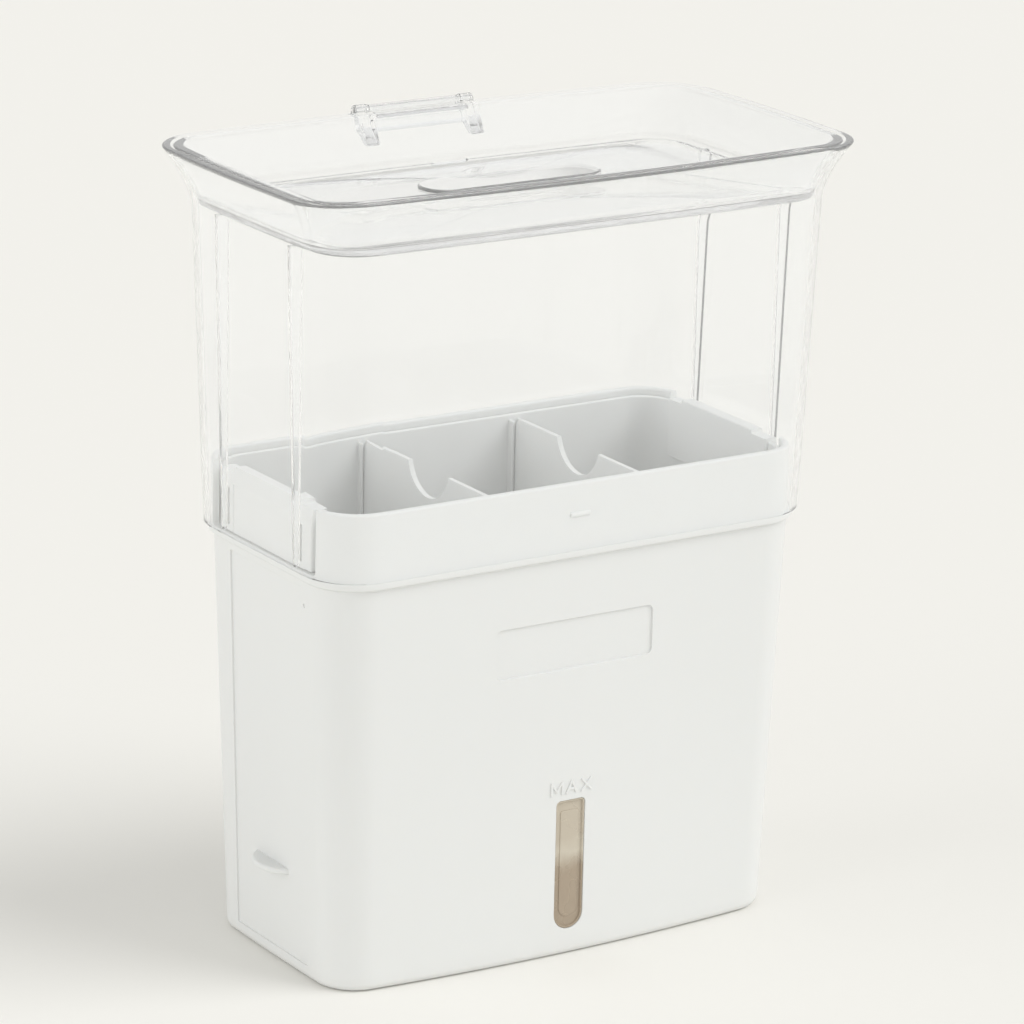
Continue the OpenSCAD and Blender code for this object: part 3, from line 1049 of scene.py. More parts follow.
@dataclass(frozen=True)
class Form:
    """Sizes that more than one piece is built from, the same as in the CAD source."""

    rim_w: float = 214.8
    rim_d: float = 121.6
    rim_z: float = 270.0
    rim_r: float = 18.0
    rim_end_bow: float = 1.9
    rim_side_bow: float = 3.5
    reservoir_z: float = 165.7
    wall: float = 2.5
    base_taper: float = 4.0
    base_end_bow: float = 0.6
    base_bow: float = 5.0
    base_r: float = 13.0
    band_r: float = 16.0
    bead_h: float = 3.0
    flange_w: float = 58.0
    flange_back: float = 0.8
    basket_gap: float = 0.9
    basket_wall: float = 1.6
    basket_floor: float = 12.0
    hood_wall: float = 2.4
    hood_lip: float = 3.1
    hood_gap: float = 1.1
    hood_overlap: float = 22.7
    hood_draft: float = 3.2
    flare_h: float = 20.0
    flare_end: float = 9.2
    flare_side: float = 8.1
    flare_power: float = 1.7
    flare_end_bow: float = 0.5
    flare_side_bow: float = 0.8
    lip_r: float = 0.4
    rib_pitch: float = 47.0
    divider_pitch: float = 58.9
    divider_t: float = 1.8
    divider_drop: float = 3.2
    lid_gap: float = 0.5
    lid_wall: float = 1.5
    lid_lip: float = 3.7
    lid_drop: float = 19.0
    pin_r: float = 1.0
    pin_play: float = 0.05
    barrel_wall: float = 0.85
    barrel_w: float = 35.6
    ear_gap: float = 0.3
    hinge_back: float = 1.4
    hinge_drop: float = 0.2

    @property
    def hood_low(self) -> float:
        """Height of the hood's lower edge."""
        return self.reservoir_z - self.hood_overlap

    @property
    def bead(self) -> float:
        """Height where the bead under the hood begins."""
        return self.hood_low - self.bead_h

    @property
    def flare_low(self) -> float:
        """Height where the flare begins."""
        return self.rim_z - self.flare_h

    @property
    def rim(self) -> Section:
        """Outside of the hood's rim."""
        bows = self.rim_end_bow, self.rim_side_bow
        return Section(self.rim_w, self.rim_d, self.rim_r, *bows, self.rim_z)

    @property
    def hood_high(self) -> Section:
        """Outside of the hood where its flare begins.

        Returns:
            The outline.
        """
        width, depth = self.rim_w - 2 * self.flare_end, self.rim_d - 2 * self.flare_side
        bows = self.flare_end_bow, self.flare_side_bow
        return Section(width, depth, self.rim_r, *bows, self.flare_low)

    @property
    def hood_foot(self) -> Section:
        """Outside of the hood at its lower edge.

        Returns:
            The outline.
        """
        width = self.hood_high.width - 2 * self.hood_draft
        depth = self.hood_high.depth - 2 * self.hood_draft
        radius = self.band_r + self.hood_gap + self.hood_wall
        return Section(width, depth, radius, 0, 0, self.hood_low)

    @property
    def band(self) -> Section:
        """Outside of the reservoir's band.

        Returns:
            The outline.
        """
        step = self.hood_wall + self.hood_gap
        foot = self.hood_foot
        return Section(foot.width - 2 * step, foot.depth - 2 * step, self.band_r, 0, 0, self.bead)

    @property
    def base(self) -> Section:
        """Outside of the reservoir at its base."""
        width, bows = self.band.width - 2 * self.base_taper, (self.base_end_bow, self.base_bow)
        return Section(width, self.band.depth, self.base_r, *bows, 0)

    @property
    def front(self) -> float:
        """Y of the reservoir's front."""
        return -self.band.depth / 2

    @property
    def end(self) -> float:
        """X of the reservoir's end at the band."""
        return self.band.width / 2

    @property
    def rib_y(self) -> float:
        """How far the hood's ribs and the flange's slots are from the middle."""
        return self.rib_pitch / 2

    @property
    def basket_end(self) -> float:
        """X of the basket's end wall at the band."""
        return self.end - self.wall - self.basket_gap

    @property
    def flange_x(self) -> float:
        """X of the basket's end flange, outside."""
        return self.end - self.flange_back

    @property
    def tray_inset(self) -> float:
        """Distance from the reservoir's outside to the basket's inside."""
        return self.wall + self.basket_gap + self.basket_wall

    @property
    def basket_half(self) -> float:
        """Half the basket's depth inside, at the band."""
        return -self.front - self.tray_inset

    @property
    def lid_under(self) -> float:
        """Height of the lid's underside."""
        return self.rim_z - self.lid_drop

    @property
    def hinge(self) -> tuple[float, float]:
        """Y and Z of the hinge axis."""
        return self.rim_d / 2 + self.hinge_back, self.rim_z - self.hinge_drop

    @property
    def bore_r(self) -> float:
        """Radius of the pin's bores."""
        return self.pin_r + self.pin_play

    @property
    def barrel_r(self) -> float:
        """Radius of the lid's hinge barrel."""
        return self.bore_r + self.barrel_wall

    @property
    def ear_x(self) -> float:
        """X of an ear's inner face."""
        return self.barrel_w / 2 + self.ear_gap

    def base_half(self, x: float) -> float:
        """Half the reservoir's depth at its base, at an X."""
        hx, hy = self.base.width / 2, self.base.depth / 2 - self.base_bow
        return hy + self.base_bow * (1 - (x / hx) ** 2)

    def tub(self, z: float) -> Section:
        """Outside of the reservoir at a height."""
        return self.base.toward(self.band, min(max(z, 0.0) / self.bead, 1.0), z)

    def tub_in(self, z: float) -> Section:
        """Inside of the reservoir at a height."""
        return self.tub(z).inset(self.wall)

    def tray(self, z: float) -> Section:
        """Outside of the basket at a height."""
        return self.tub_in(z).inset(self.basket_gap)

    def tray_in(self, z: float) -> Section:
        """Inside of the basket at a height."""
        return self.tray(z).inset(self.basket_wall)

    def flare_share(self, z: float) -> float:
        """How far up the flare a height is, from 0 to 1."""
        return max(min((z - self.flare_low) / (self.flare_h - self.lip_r), 1.0), 0.0)

    def sleeve(self, z: float) -> Section:
        """Outside of the hood.

        Args:
            z: A height.

        Returns:
            The outline there.
        """
        if z < self.flare_low:
            share = (z - self.hood_low) / (self.flare_low - self.hood_low)
            return self.hood_foot.toward(self.hood_high, share, z)
        return self.hood_high.toward(self.rim, self.flare_share(z) ** self.flare_power, z)

    def sleeve_in(self, z: float) -> Section:
        """Inside of the hood at a height."""
        lip = (self.hood_lip - self.hood_wall) * self.flare_share(z)
        return self.sleeve(z).inset(self.hood_wall + lip)

    def dish(self, z: float) -> Section:
        """Outside of the lid's dish at a height."""
        return self.sleeve_in(z).inset(self.lid_gap)

    def dish_in(self, z: float) -> Section:
        """Inside of the lid's dish at a height."""
        lip = (self.lid_lip - self.lid_wall) * self.flare_share(z)
        return self.dish(z).inset(self.lid_wall + lip)


@dataclass
class Assembly:
    """What every sub-assembly shares: the form, the finishes, the copy tree."""

    form: Form
    finishes: Finishes
    copies: CopyTree

    def build(self) -> list[bpy.types.Object]:
        """Builds the pieces and ties them to the frame."""
        raise NotImplementedError

    def hand_over(
        self,
        piece: bpy.types.Object,
        body: str,
        slot: str,
        material: bpy.types.Material,
        *nodes: str,
    ) -> bpy.types.Object:
        """slot: Material slot of the record; not used.
            material: Its material.
            *nodes: CAD nodes that it stands for.

        Returns:
            The same piece.
        """
        smooth(piece)
        dress(piece, material)
        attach(piece, body)
        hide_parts(*nodes)
        return piece


@dataclass
class Reservoir(Assembly):
    """White tub with its band, bead, tabs, recesses and fill mark."""

    edge: float = 3.0
    fillet: float = 3.0
    lip: float = 0.9
    sole_in: float = 8.0
    sole_bevel: float = 1.2
    sole_rise: float = 0.7
    bead_out: float = 1.8
    tab_r: float = 13.4
    tab_z: float = 33.0
    tab_h: float = 2.2
    tab_out: float = 5.1
    tab_soft: float = 0.75
    panel_depth: float = 0.7
    panel_low: float = 5.0
    panel_drop: float = 3.0
    panel_r: float = 0.8
    panel_soft: float = 0.25
    badge: Patch = Patch(0.0, 110.2, 61.4, 17.2, (2.2,) * 4, Steps(8, 24, 8))
    badge_depth: float = 0.8
    badge_soft: float = 0.28
    window_soft: float = 0.3
    recess_fillet: float = 0.3
    mark_z: float = 57.6
    mark_w: float = 0.75
    mark_out: float = 0.45
    gap_side: float = 4.0
    gap_rise: float = 0.4
    gap_r: float = 1.4
    dimple_d: float = 1.5
    dimple_depth: float = 0.4
    dimple_side: float = 1.6
    dimple_drop: float = 8.8
    nub_w: float = 8.0
    nub_r: float = 1.05
    nub_in: float = 0.35
    nub_drop: float = 10.7
    strokes: ClassVar[tuple[tuple[float, float, float, float], ...]] = (
        (-7.9, 0.4, -7.9, 4.4),
        (-7.9, 4.4, -5.8, 1.4),
        (-5.8, 1.4, -3.7, 4.4),
        (-3.7, 4.4, -3.7, 0.4),
        (-1.9, 0.4, 0.0, 4.4),
        (0.0, 4.4, 1.9, 0.4),
        (-1.25, 1.75, 1.25, 1.75),
        (4.1, 0.4, 7.7, 4.4),
        (4.1, 4.4, 7.7, 0.4),
    )

    def bead(self) -> list[Section]:
        """Sections of the bead that the hood stands on.

        Returns:
            The sections, from its foot up.
        """
        full, high = self.bead_out, self.form.bead_h
        profile = (
            (0.15, -0.35),
            (0.39 * full, 0.0),
            (0.69 * full, 0.25),
            (0.92 * full, 0.6),
            (full, 1.05),
            (full, high - 0.6),
            (full - 0.08, high - 0.25),
            (full - 0.3, high - 0.06),
            (full - 0.6, high - 0.02),
            (0.35, high - 0.01),
            (0.08, high + 0.1),
            (0.0, high + 0.4),
        )
        return [self.form.tub(self.form.bead + up).inset(-out) for out, up in profile]

    def shell(self) -> bpy.types.Object:
        """The open tub, through its level sections.

        Returns:
            The new solid.
        """
        f = self.form
        bead, top = self.bead(), f.reservoir_z
        sole = f.tub(0.0).inset(self.sole_in)
        rows = [sole.inset(self.sole_bevel).at(self.sole_rise), sole]
        rows += floor_round(f.tub, 0.0, self.edge, 8)
        rows += [f.tub(z) for z in np.linspace(self.edge, f.bead - 1.0, 36)[1:]]
        rows += bead
        rows += [f.tub(z) for z in np.linspace(bead[-1].z, top - self.lip, 7)[1:]]
        rows += lip_round(f.tub, f.tub_in, top, self.lip, 6)
        rows += [f.tub_in(z) for z in np.linspace(top - self.lip, f.wall + self.fillet, 30)]
        rows += floor_round(f.tub_in, f.wall, self.fillet, 6)[-2::-1]
        return sections_solid("reservoir_shell", rows)

    def recess(self, patch: Patch, depth: float, soft: float) -> bpy.types.Object:
        """Cutter for a recess with rounded edges in the front.

        Args:
            patch: Outline of the recess.
            depth: How deep it goes.
            soft: Radius of its outer edge.

        Returns:
            The new solid.
        """
        face, inner = self.form.front, min(self.recess_fillet, depth - soft)
        profile = [(soft, face - 3.0), (soft, face)]
        profile += [(soft - run, face + rise) for run, rise in quarter(soft, 5)][1:]
        profile += [(-inner * k, face + depth - inner * (1 - k)) for k in (0.0, 1.0)]
        profile.insert(-1, (-inner * 0.3, face + depth - inner * 0.3))
        return patch.solid("recess", Face.FRONT, profile)

    def fill_mark(self) -> bpy.types.Object:
        """The raised word over the window, in plain round-ended strokes.

        Returns:
            One solid for the whole word.
        """
        out, wide = self.mark_out, self.mark_w
        profile = ((0.05, 0.4), (0.05, 0.0), (0.0, 0.12 - out), (-0.1, 0.03 - out), (-0.24, -out))
        bars = []
        for x0, z0, x1, z1 in self.strokes:
            run, turn = math.hypot(x1 - x0, z1 - z0), math.atan2(z1 - z0, x1 - x0)
            spin = np.array([[math.cos(turn), math.sin(turn)], [-math.sin(turn), math.cos(turn)]])
            patch = Patch(run / 2, 0.0, run + wide, wide, (wide / 2,) * 4, Steps(5, 4, 1))
            rings = []
            for grow, level in profile:
                uv = patch.outline(grow) @ spin + (x0, z0 + self.mark_z)
                rings.append(Face.FRONT.place(uv, self.form.front + level))
            bars.append(skin("stroke", rings))
        for bar in bars[1:]:
            combine(bars[0], bar, Op.JOIN)
        return bars[0]

    def end_tab(self) -> bpy.types.Object:
        """Half-moon tab on the +X end.

        Returns:
            The new solid.
        """
        r, z = self.tab_r, self.tab_z
        wall_x = self.form.tub(z + self.tab_h / 2).width / 2
        outer_x = wall_x + self.tab_out
        tab = round_bar(
            "tab", Face.LEVEL, (outer_x - r, 0.0), (z, z + self.tab_h), r, self.tab_soft, 96, 5
        )
        keep = soft_block("keep", (wall_x - 1.8, -r - 1, z - 3), (outer_x + 4, r + 1, z + 6), 0.1)
        return combine(tab, keep, Op.KEEP_COMMON)

    def end_panel(self) -> bpy.types.Object:
        """Cutter for the shallow full-height panel on the +X end.

        Returns:
            The new solid.
        """
        f = self.form
        low, high, soft = self.panel_low, f.bead - self.panel_drop, self.panel_soft
        patch = Patch(
            0.0, (low + high) / 2, f.rib_pitch, high - low, (self.panel_r,) * 4, Steps(5, 10, 30)
        )
        levels = [(soft, 4.0), (soft, self.panel_depth)]
        levels += [(soft - run, self.panel_depth - rise) for run, rise in quarter(soft, 4)][1:]
        levels += [(-0.1, 0.06), (-0.3, 0.0)]
        rings = []
        for grow, out in levels:
            x = f.base.width / 2 - self.panel_depth + out
            points = Face.END.place(patch.outline(grow), x)
            points[:, 0] += points[:, 2] * f.base_taper / f.bead
            rings.append(points)
        return skin("panel", rings)

    def band_gap(self) -> bpy.types.Object:
        """Cutter for the cut-out in the band at the +X end.

        Returns:
            The new solid.
        """
        f = self.form
        half = f.flange_w / 2 + self.gap_side
        low = (f.end - f.wall - 6, -half, f.hood_low + self.gap_rise)
        return soft_block("gap", low, (f.end + 8, half, f.reservoir_z + 12), self.gap_r)

    def dimple(self) -> bpy.types.Object:
        """Cutter for the small moulding mark near the band.

        Returns:
            The new solid.
        """
        z = self.form.bead - self.dimple_drop
        x = -self.form.tub(z).width / 2
        centre, span = (-self.form.rib_y - self.dimple_side, z), (x - 1.0, x + self.dimple_depth)
        return round_bar("dimple", Face.END, centre, span, self.dimple_d / 2, 0.1, 24)

    def build(self) -> list[bpy.types.Object]:
        """Builds the tub.

        Returns:
            The finished tub.
        """
        f = self.form
        shell = self.shell()
        combine_pair(shell, self.band_gap(), Op.CUT)
        combine_pair(shell, self.end_panel(), Op.CUT)
        combine(shell, self.dimple(), Op.CUT)
        combine(shell, self.recess(self.badge, self.badge_depth, self.badge_soft), Op.CUT)
        window, depth = WindowSet.outline, WindowSet.recess
        combine(shell, self.recess(window, depth, self.window_soft), Op.CUT)
        through = [(0.0, f.front - 2), (0.0, f.front + f.wall + 2)]
        combine(shell, WindowSet.pane.solid("hole", Face.FRONT, through), Op.CUT)
        combine_pair(shell, self.end_tab(), Op.JOIN)
        combine(shell, self.fill_mark(), Op.JOIN)
        centre = (f.front + self.nub_in, f.reservoir_z - self.nub_drop)
        half = self.nub_w / 2
        combine(shell, round_bar("nub", Face.END, centre, (-half, half), self.nub_r, 0.6), Op.JOIN)
        shell.name = "reservoir_tub"
        white = self.finishes.white
        return [self.hand_over(shell, "base", "white_plastic", white, "reservoir")]


@dataclass
class WindowSet(Assembly):
    """Tinted tray of the water window, with the gasket behind it."""

    outline: ClassVar[Patch] = Patch(0.0, 32.4, 11.3, 45.8, (1.6, 1.6, 5.6, 5.6), Steps(12, 4, 16))
    pane: ClassVar[Patch] = Patch(0.0, 32.5, 7.2, 38.0, (1.0, 1.0, 3.55, 3.55), Steps(12, 4, 16))
    recess: ClassVar[float] = 1.9
    seal: float = 0.4
    lining: float = 0.75
    play: float = 0.05

    def build(self) -> list[bpy.types.Object]:
        """Builds the tray and dresses the gasket.

        Returns:
            The tray and the gasket.
        """
        y, gap, wall = self.form.front, self.play, self.lining
        back = y + self.recess - self.seal
        rim = (
            (-gap, back),
            (-gap, y + 0.5),
            (-gap - 0.08, y + 0.35),
            (-gap - 0.25, y + 0.27),
            (-wall + 0.2, y + 0.3),
            (-wall, y + 0.5),
            (-wall - 0.05, back - 0.6),
            (-wall - 0.25, back - 0.5),
        )
        field_rows = (
            (-gap, y + self.form.wall),
            (-gap, y + 0.95),
            (-gap - 0.08, y + 0.82),
            (-gap - 0.25, y + 0.76),
            (-gap - 0.5, y + 0.75),
        )
        tray = self.outline.solid("water_pane", Face.FRONT, rim)
        combine(tray, self.pane.solid("raised", Face.FRONT, field_rows), Op.JOIN)
        seal = frame["nodes"]["window_seal"]
        dress(seal, self.finishes.rubber)
        smoky = self.finishes.smoky
        return [self.hand_over(tray, "base", "smoke_plastic", smoky, "water_window"), seal]


@dataclass
class Basket(Assembly):
    """White lift-out tray with its floor, guides, feet and end flanges."""

    edge: float = 2.0
    fillet: float = 1.6
    lip: float = 0.6
    rim_drop: float = 2.4
    hole_d: float = 6.0
    hole_edge: float = 14.0
    half_cols: int = 5
    half_rows: int = 2
    foot_d: float = 6.0
    foot_soft: float = 0.5
    flange_rise: float = 0.2
    flange_foot: float = 0.6
    flange_soft: float = 0.7
    lift_w: float = 42.0
    lift_step: float = 1.5
    lift_sink: float = 0.35
    lift_bevel: float = 4.9
    slot_w: float = 2.0
    slot_h: float = 12.5
    slot_rise: float = 2.4
    divider_play: float = 0.3
    guide_t: float = 1.2
    guide_out: float = 2.6

    @property
    def pitch(self) -> tuple[float, float]:
        """Distances between the drain holes.

        Returns:
            The distance along X and the one along Y.
        """
        f = self.form
        across = f.base.width / 2 - f.tray_inset - self.hole_edge
        along = (f.base.depth - f.base_bow - self.hole_edge) / 2 - f.tray_inset
        return across / self.half_cols, along / self.half_rows

    def shell(self) -> bpy.types.Object:
        """The open tray, through its level sections.

        Returns:
            The new solid.
        """
        f = self.form
        floor, top = f.basket_floor, f.reservoir_z - self.rim_drop
        rows = floor_round(f.tray, floor - self.edge, self.edge, 5)
        rows += [f.tray(z) for z in np.linspace(floor, top - self.lip, 24)[1:]]
        rows += lip_round(f.tray, f.tray_in, top, self.lip, 4)
        rows += [f.tray_in(z) for z in np.linspace(top - self.lip, floor + self.fillet, 24)]
        rows += floor_round(f.tray_in, floor, self.fillet, 4)[-2::-1]
        return sections_solid("basket_shell", rows)

    def holes(self, first: int) -> bpy.types.Object:
        """Cutters for three columns of drain holes, clear of the dividers.

        Args:
            first: Number of the first column, counted from the middle.

        Returns:
            One solid that holds every cutter.
        """
        r, z = self.hole_d / 2, self.form.basket_floor
        pitch_x, pitch_y = self.pitch
        profile = ((r, z - 5.0), (r, z - 0.4), (r + 0.12, z - 0.12), (r + 0.4, z), (r + 0.4, z + 3))
        cutter = turned("holes", Face.LEVEL, (0.0, 0.0), profile, 32)
        start = (first * pitch_x, -self.half_rows * pitch_y, 0.0)
        grid = Grid(start, (pitch_x, 0, 0), (0, pitch_y, 0), 3, 2 * self.half_rows + 1)
        return self.copies.repeat(cutter, grid, self.finishes.white)

    def guides(self) -> bpy.types.Object:
        """Guide ribs of both dividers on the back wall.

        Returns:
            One solid that holds all four.
        """
        f = self.form
        t, back = self.guide_t / 2, f.basket_half
        high = (t, back + 0.4, f.reservoir_z - f.divider_drop - 1)
        rib = soft_block("guides", (-t, back - self.guide_out, f.basket_floor - 1), high, 0.4)
        step = f.divider_t + 2 * self.divider_play + self.guide_t
        start = (-f.divider_pitch / 2 - step / 2, 0, 0)
        grid = Grid(start, (step, 0, 0), (f.divider_pitch, 0, 0), 2, 2)
        return self.copies.repeat(rib, grid, self.finishes.white)

    def end_flange(self) -> bpy.types.Object:
        """Flange on the +X end: posts, slots and the bevelled lift panel.

        Returns:
            The new solid.
        """
        f = self.form
        low, high = f.hood_low + self.flange_foot, f.reservoir_z + self.flange_rise
        half, lift = f.flange_w / 2, self.lift_w / 2
        inner, outer = f.basket_end, f.flange_x
        body = soft_block(
            "flange", (inner - 3.0, -half, low), (outer, half, high), self.flange_soft
        )
        corner = (f.end + 8, half + 6, high + 6)
        shoulder = soft_block("shoulder", (inner - 9, lift, high - self.lift_step), corner, 0.5)
        combine_pair(body, shoulder, Op.CUT, axis=1)
        side, foot = self.slot_w / 2, low + self.slot_rise
        corner = (f.end + 4, f.rib_y + side, foot + self.slot_h)
        slot = soft_block("slot", (inner + 0.4, f.rib_y - side, foot), corner, 0.35)
        combine_pair(body, slot, Op.CUT, axis=1)
        begin = high - self.lift_bevel
        profile = (
            (outer + 0.02, begin),
            (outer + 5.0, begin),
            (outer + 5.0, high + 4.0),
            (outer - 2.6, high + 4.0),
        )
        combine(
            body, soft_bar("bevel", Face.FRONT, profile, (-half - 4, half + 4), 0.02), Op.CUT
        )
        corner = (outer + 4, lift - 0.6, begin - 0.7)
        panel = soft_block("panel_sink", (outer - self.lift_sink, 0.6 - lift, low - 2), corner, 0.3)
        return combine(body, panel, Op.CUT)

    def feet(self) -> bpy.types.Object:
        """The four feet under the floor.

        Returns:
            One solid that holds all four.
        """
        pitch_x, pitch_y = self.pitch
        x, y = pitch_x * (self.half_cols - 0.5), pitch_y * 1.5
        span = (self.form.wall, self.form.basket_floor - 1.0)
        foot = round_bar(
            "feet", Face.LEVEL, (0.0, 0.0), span, self.foot_d / 2, self.foot_soft, 96, 5
        )
        grid = Grid((-x, -y, 0), (2 * x, 0, 0), (0, 2 * y, 0), 2, 2)
        return self.copies.repeat(foot, grid, self.finishes.white)

    def build(self) -> list[bpy.types.Object]:
        """Builds the basket.

        Returns:
            The finished basket.
        """
        tray = self.shell()
        for first in (-self.half_cols, -1, self.half_cols - 2):
            combine(tray, self.holes(first), Op.CUT)
        combine_pair(tray, self.end_flange(), Op.JOIN)
        combine_pair(tray, self.guides(), Op.JOIN, axis=1)
        combine(tray, self.feet(), Op.JOIN)
        tray.name = "basket_tray"
        return [self.hand_over(tray, "tray", "white_plastic", self.finishes.white, "basket")]


class Side(Enum):
    """Which of the two dividers."""

    LEFT = -1
    RIGHT = 1


@dataclass
class Divider(Assembly):
    """One plate with a finger cut-out on top and water slots below."""

    side: Side = Side.LEFT
    end_play: float = 0.6
    soft: float = 0.45
    finger_r: float = 13.0
    finger_rise: float = 3.0
    corner_r: float = 5.0
    foot_r: float = 2.2
    slot_w: float = 4.0
    slot_h: float = 8.0
    slot_r: float = 1.2

    def build(self) -> list[bpy.types.Object]:
        """Builds the plate.

        Returns:
            The finished plate.
        """
        f = self.form
        x = self.side.value * f.divider_pitch / 2
        half = f.base_half(x) - f.tray_inset - self.end_play
        low, high = f.basket_floor, f.reservoir_z - f.divider_drop
        radii = (self.corner_r, self.corner_r, self.foot_r, self.foot_r)
        patch = Patch(0.0, (low + high) / 2, 2 * half, high - low, radii, Steps(8, 20, 40))
        face = x - f.divider_t / 2
        profile = [(-self.soft, face), (-0.12, face + 0.12), (0.0, face + self.soft)]
        profile += [(grow, 2 * x - level) for grow, level in reversed(profile)]
        plate = patch.solid("divider", Face.END, profile)
        centre = (0.0, high + self.finger_rise)
        bite = round_bar("bite", Face.END, centre, (x - 5, x + 5), self.finger_r, 0.5, 96)
        combine(plate, bite, Op.CUT)
        wide = self.slot_w / 2
        corner = (x + 4, wide, low + self.slot_h)
        slot = soft_block("slots", (x - 4, -wide, low - 5), corner, self.slot_r)
        row = Grid((0, -2 * half / 3, 0), (0, half / 3, 0), (0, 0, 0), 5, 1)
        combine(plate, self.copies.repeat(slot, row, self.finishes.white), Op.CUT)
        name, white = self.side.name.lower(), self.finishes.white
        plate.name = f"divider_plate_{name}"
        return [
            self.hand_over(plate, f"{name}_divider", "white_plastic", white, f"divider_{name}")
        ]


@dataclass
class Hood(Assembly):
    """Clear sleeve with its flare, ribs, hinge ears and the bar between them."""

    rim_soft: float = 0.8
    rib_t: float = 2.0
    rib_gap: float = 0.5
    rib_soft: float = 0.45
    eye_wall: float = 0.3
    ear_w: float = 4.9
    ear_h: float = 10.6
    ear_soft: float = 0.4
    bar_d: float = 3.8
    bar_drop: float = 5.6
    bar_in: float = 1.3
    foot: ClassVar[tuple[tuple[float, float], ...]] = ((0.0, 0.6), (0.1, 0.3), (0.35, 0.08))

    def sleeve(self) -> bpy.types.Object:
        """The open sleeve, through its level sections.

        Returns:
            The new solid.
        """
        f = self.form
        low, top, soft = f.hood_low, f.rim_z, self.rim_soft
        straight = np.linspace(low + 0.8, f.flare_low, 22)
        curved = np.linspace(f.flare_low, top - soft, 18)[1:]
        levels = np.concatenate([straight, curved])
        rows = [f.sleeve(low + up).inset(by) for up, by in self.foot]
        rows += [f.sleeve(z) for z in levels]
        rows += lip_round(f.sleeve, f.sleeve_in, top, soft, 5)
        rows += [f.sleeve_in(z) for z in levels[::-1]]
        rows += [f.sleeve_in(low + up).inset(-by) for up, by in reversed(self.foot)]
        return sections_solid("hood_sleeve", rows, joined=True)

    def ribs(self) -> bpy.types.Object:
        """Pair of ribs inside the +X end wall, set by the copy tree.

        Returns:
            One solid that holds both.
        """
        f = self.form
        x, top, half = f.flange_x + self.rib_gap, f.lid_under, self.rib_t / 2
        profile = (
            (x, f.hood_low + 2.0),
            (f.sleeve_in(f.hood_low).width / 2 + 1.0, f.hood_low + 1.0),
            (f.sleeve_in(f.flare_low).width / 2 + 1.0, top),
            (x + 0.9, top),
            (x, top - 1.2),
        )
        rib = soft_bar("ribs", Face.FRONT, profile, (-half, half), self.rib_soft)
        pair = Grid((0, -f.rib_y, 0), (0, f.rib_pitch, 0), (0, 0, 0), 2, 1)
        return self.copies.repeat(rib, pair, self.finishes.clear)

    def ear(self) -> bpy.types.Object:
        """Ear on the +X side of the hinge: an eye and a gusset down the wall.

        Returns:
            The new solid.
        """
        f = self.form
        y, z = f.hinge
        eye_r = f.barrel_r + self.eye_wall
        foot, edge = z - self.ear_h, eye_r - 0.02
        mid = (foot + f.rim_z) / 2
        bar_z = z - self.bar_drop
        span = (f.ear_x, f.ear_x + self.ear_w)
        profile = (
            (f.sleeve(foot).depth / 2 - 1.2, foot),
            (f.sleeve(foot).depth / 2 + 2.2, foot),
            (y - self.bar_in + self.bar_d / 2 + 0.3, bar_z - 1),
            (y + edge, bar_z + 2.5),
            (y + edge, z),
            (y, z + edge),
            (f.rim_d / 2 - 0.8, f.rim_z + 0.3),
            (f.rim_d / 2 - 1.5, f.rim_z - f.lip_r),
            (f.sleeve(mid).depth / 2 - 1.2, mid),
        )
        eye = round_bar("ear", Face.END, (y, z), span, eye_r, 0.35)
        return combine(eye, soft_bar("gusset", Face.END, profile, span, self.ear_soft), Op.JOIN)

    def build(self) -> list[bpy.types.Object]:
        """Builds the hood and its pin.

        Returns:
            The finished hood and pin.
        """
        f = self.form
        y, z = f.hinge
        sleeve = self.sleeve()
        combine_pair(sleeve, self.ribs(), Op.JOIN)
        combine_pair(sleeve, self.ear(), Op.JOIN)
        centre, half = (y - self.bar_in, z - self.bar_drop), f.ear_x + 1.0
        bar = round_bar("bar", Face.END, centre, (-half, half), self.bar_d / 2, 0.2)
        combine(sleeve, bar, Op.JOIN)
        wide, back = f.ear_x - 0.02, f.rim_d / 2
        low = (-wide, back - f.hood_lip - 3, z - f.barrel_r - self.eye_wall)
        combine(sleeve, soft_block("notch", low, (wide, back + 7, f.rim_z + 6), 0.3), Op.CUT)
        bore = round_bar("bore", Face.END, (y, z), (-30.0, 30.0), f.bore_r, 0.05)
        combine(sleeve, bore, Op.CUT)
        reach = f.ear_x + self.ear_w - 0.2
        pin = round_bar("hinge_rod", Face.END, (y, z), (-reach, reach), f.pin_r, segments=32)
        clear = self.finishes.clear
        return [
            self.hand_over(sleeve, "cover", "clear_plastic", clear, "hood"),
            self.hand_over(pin, "cover", "clear_plastic", clear, "hinge_pin"),
        ]


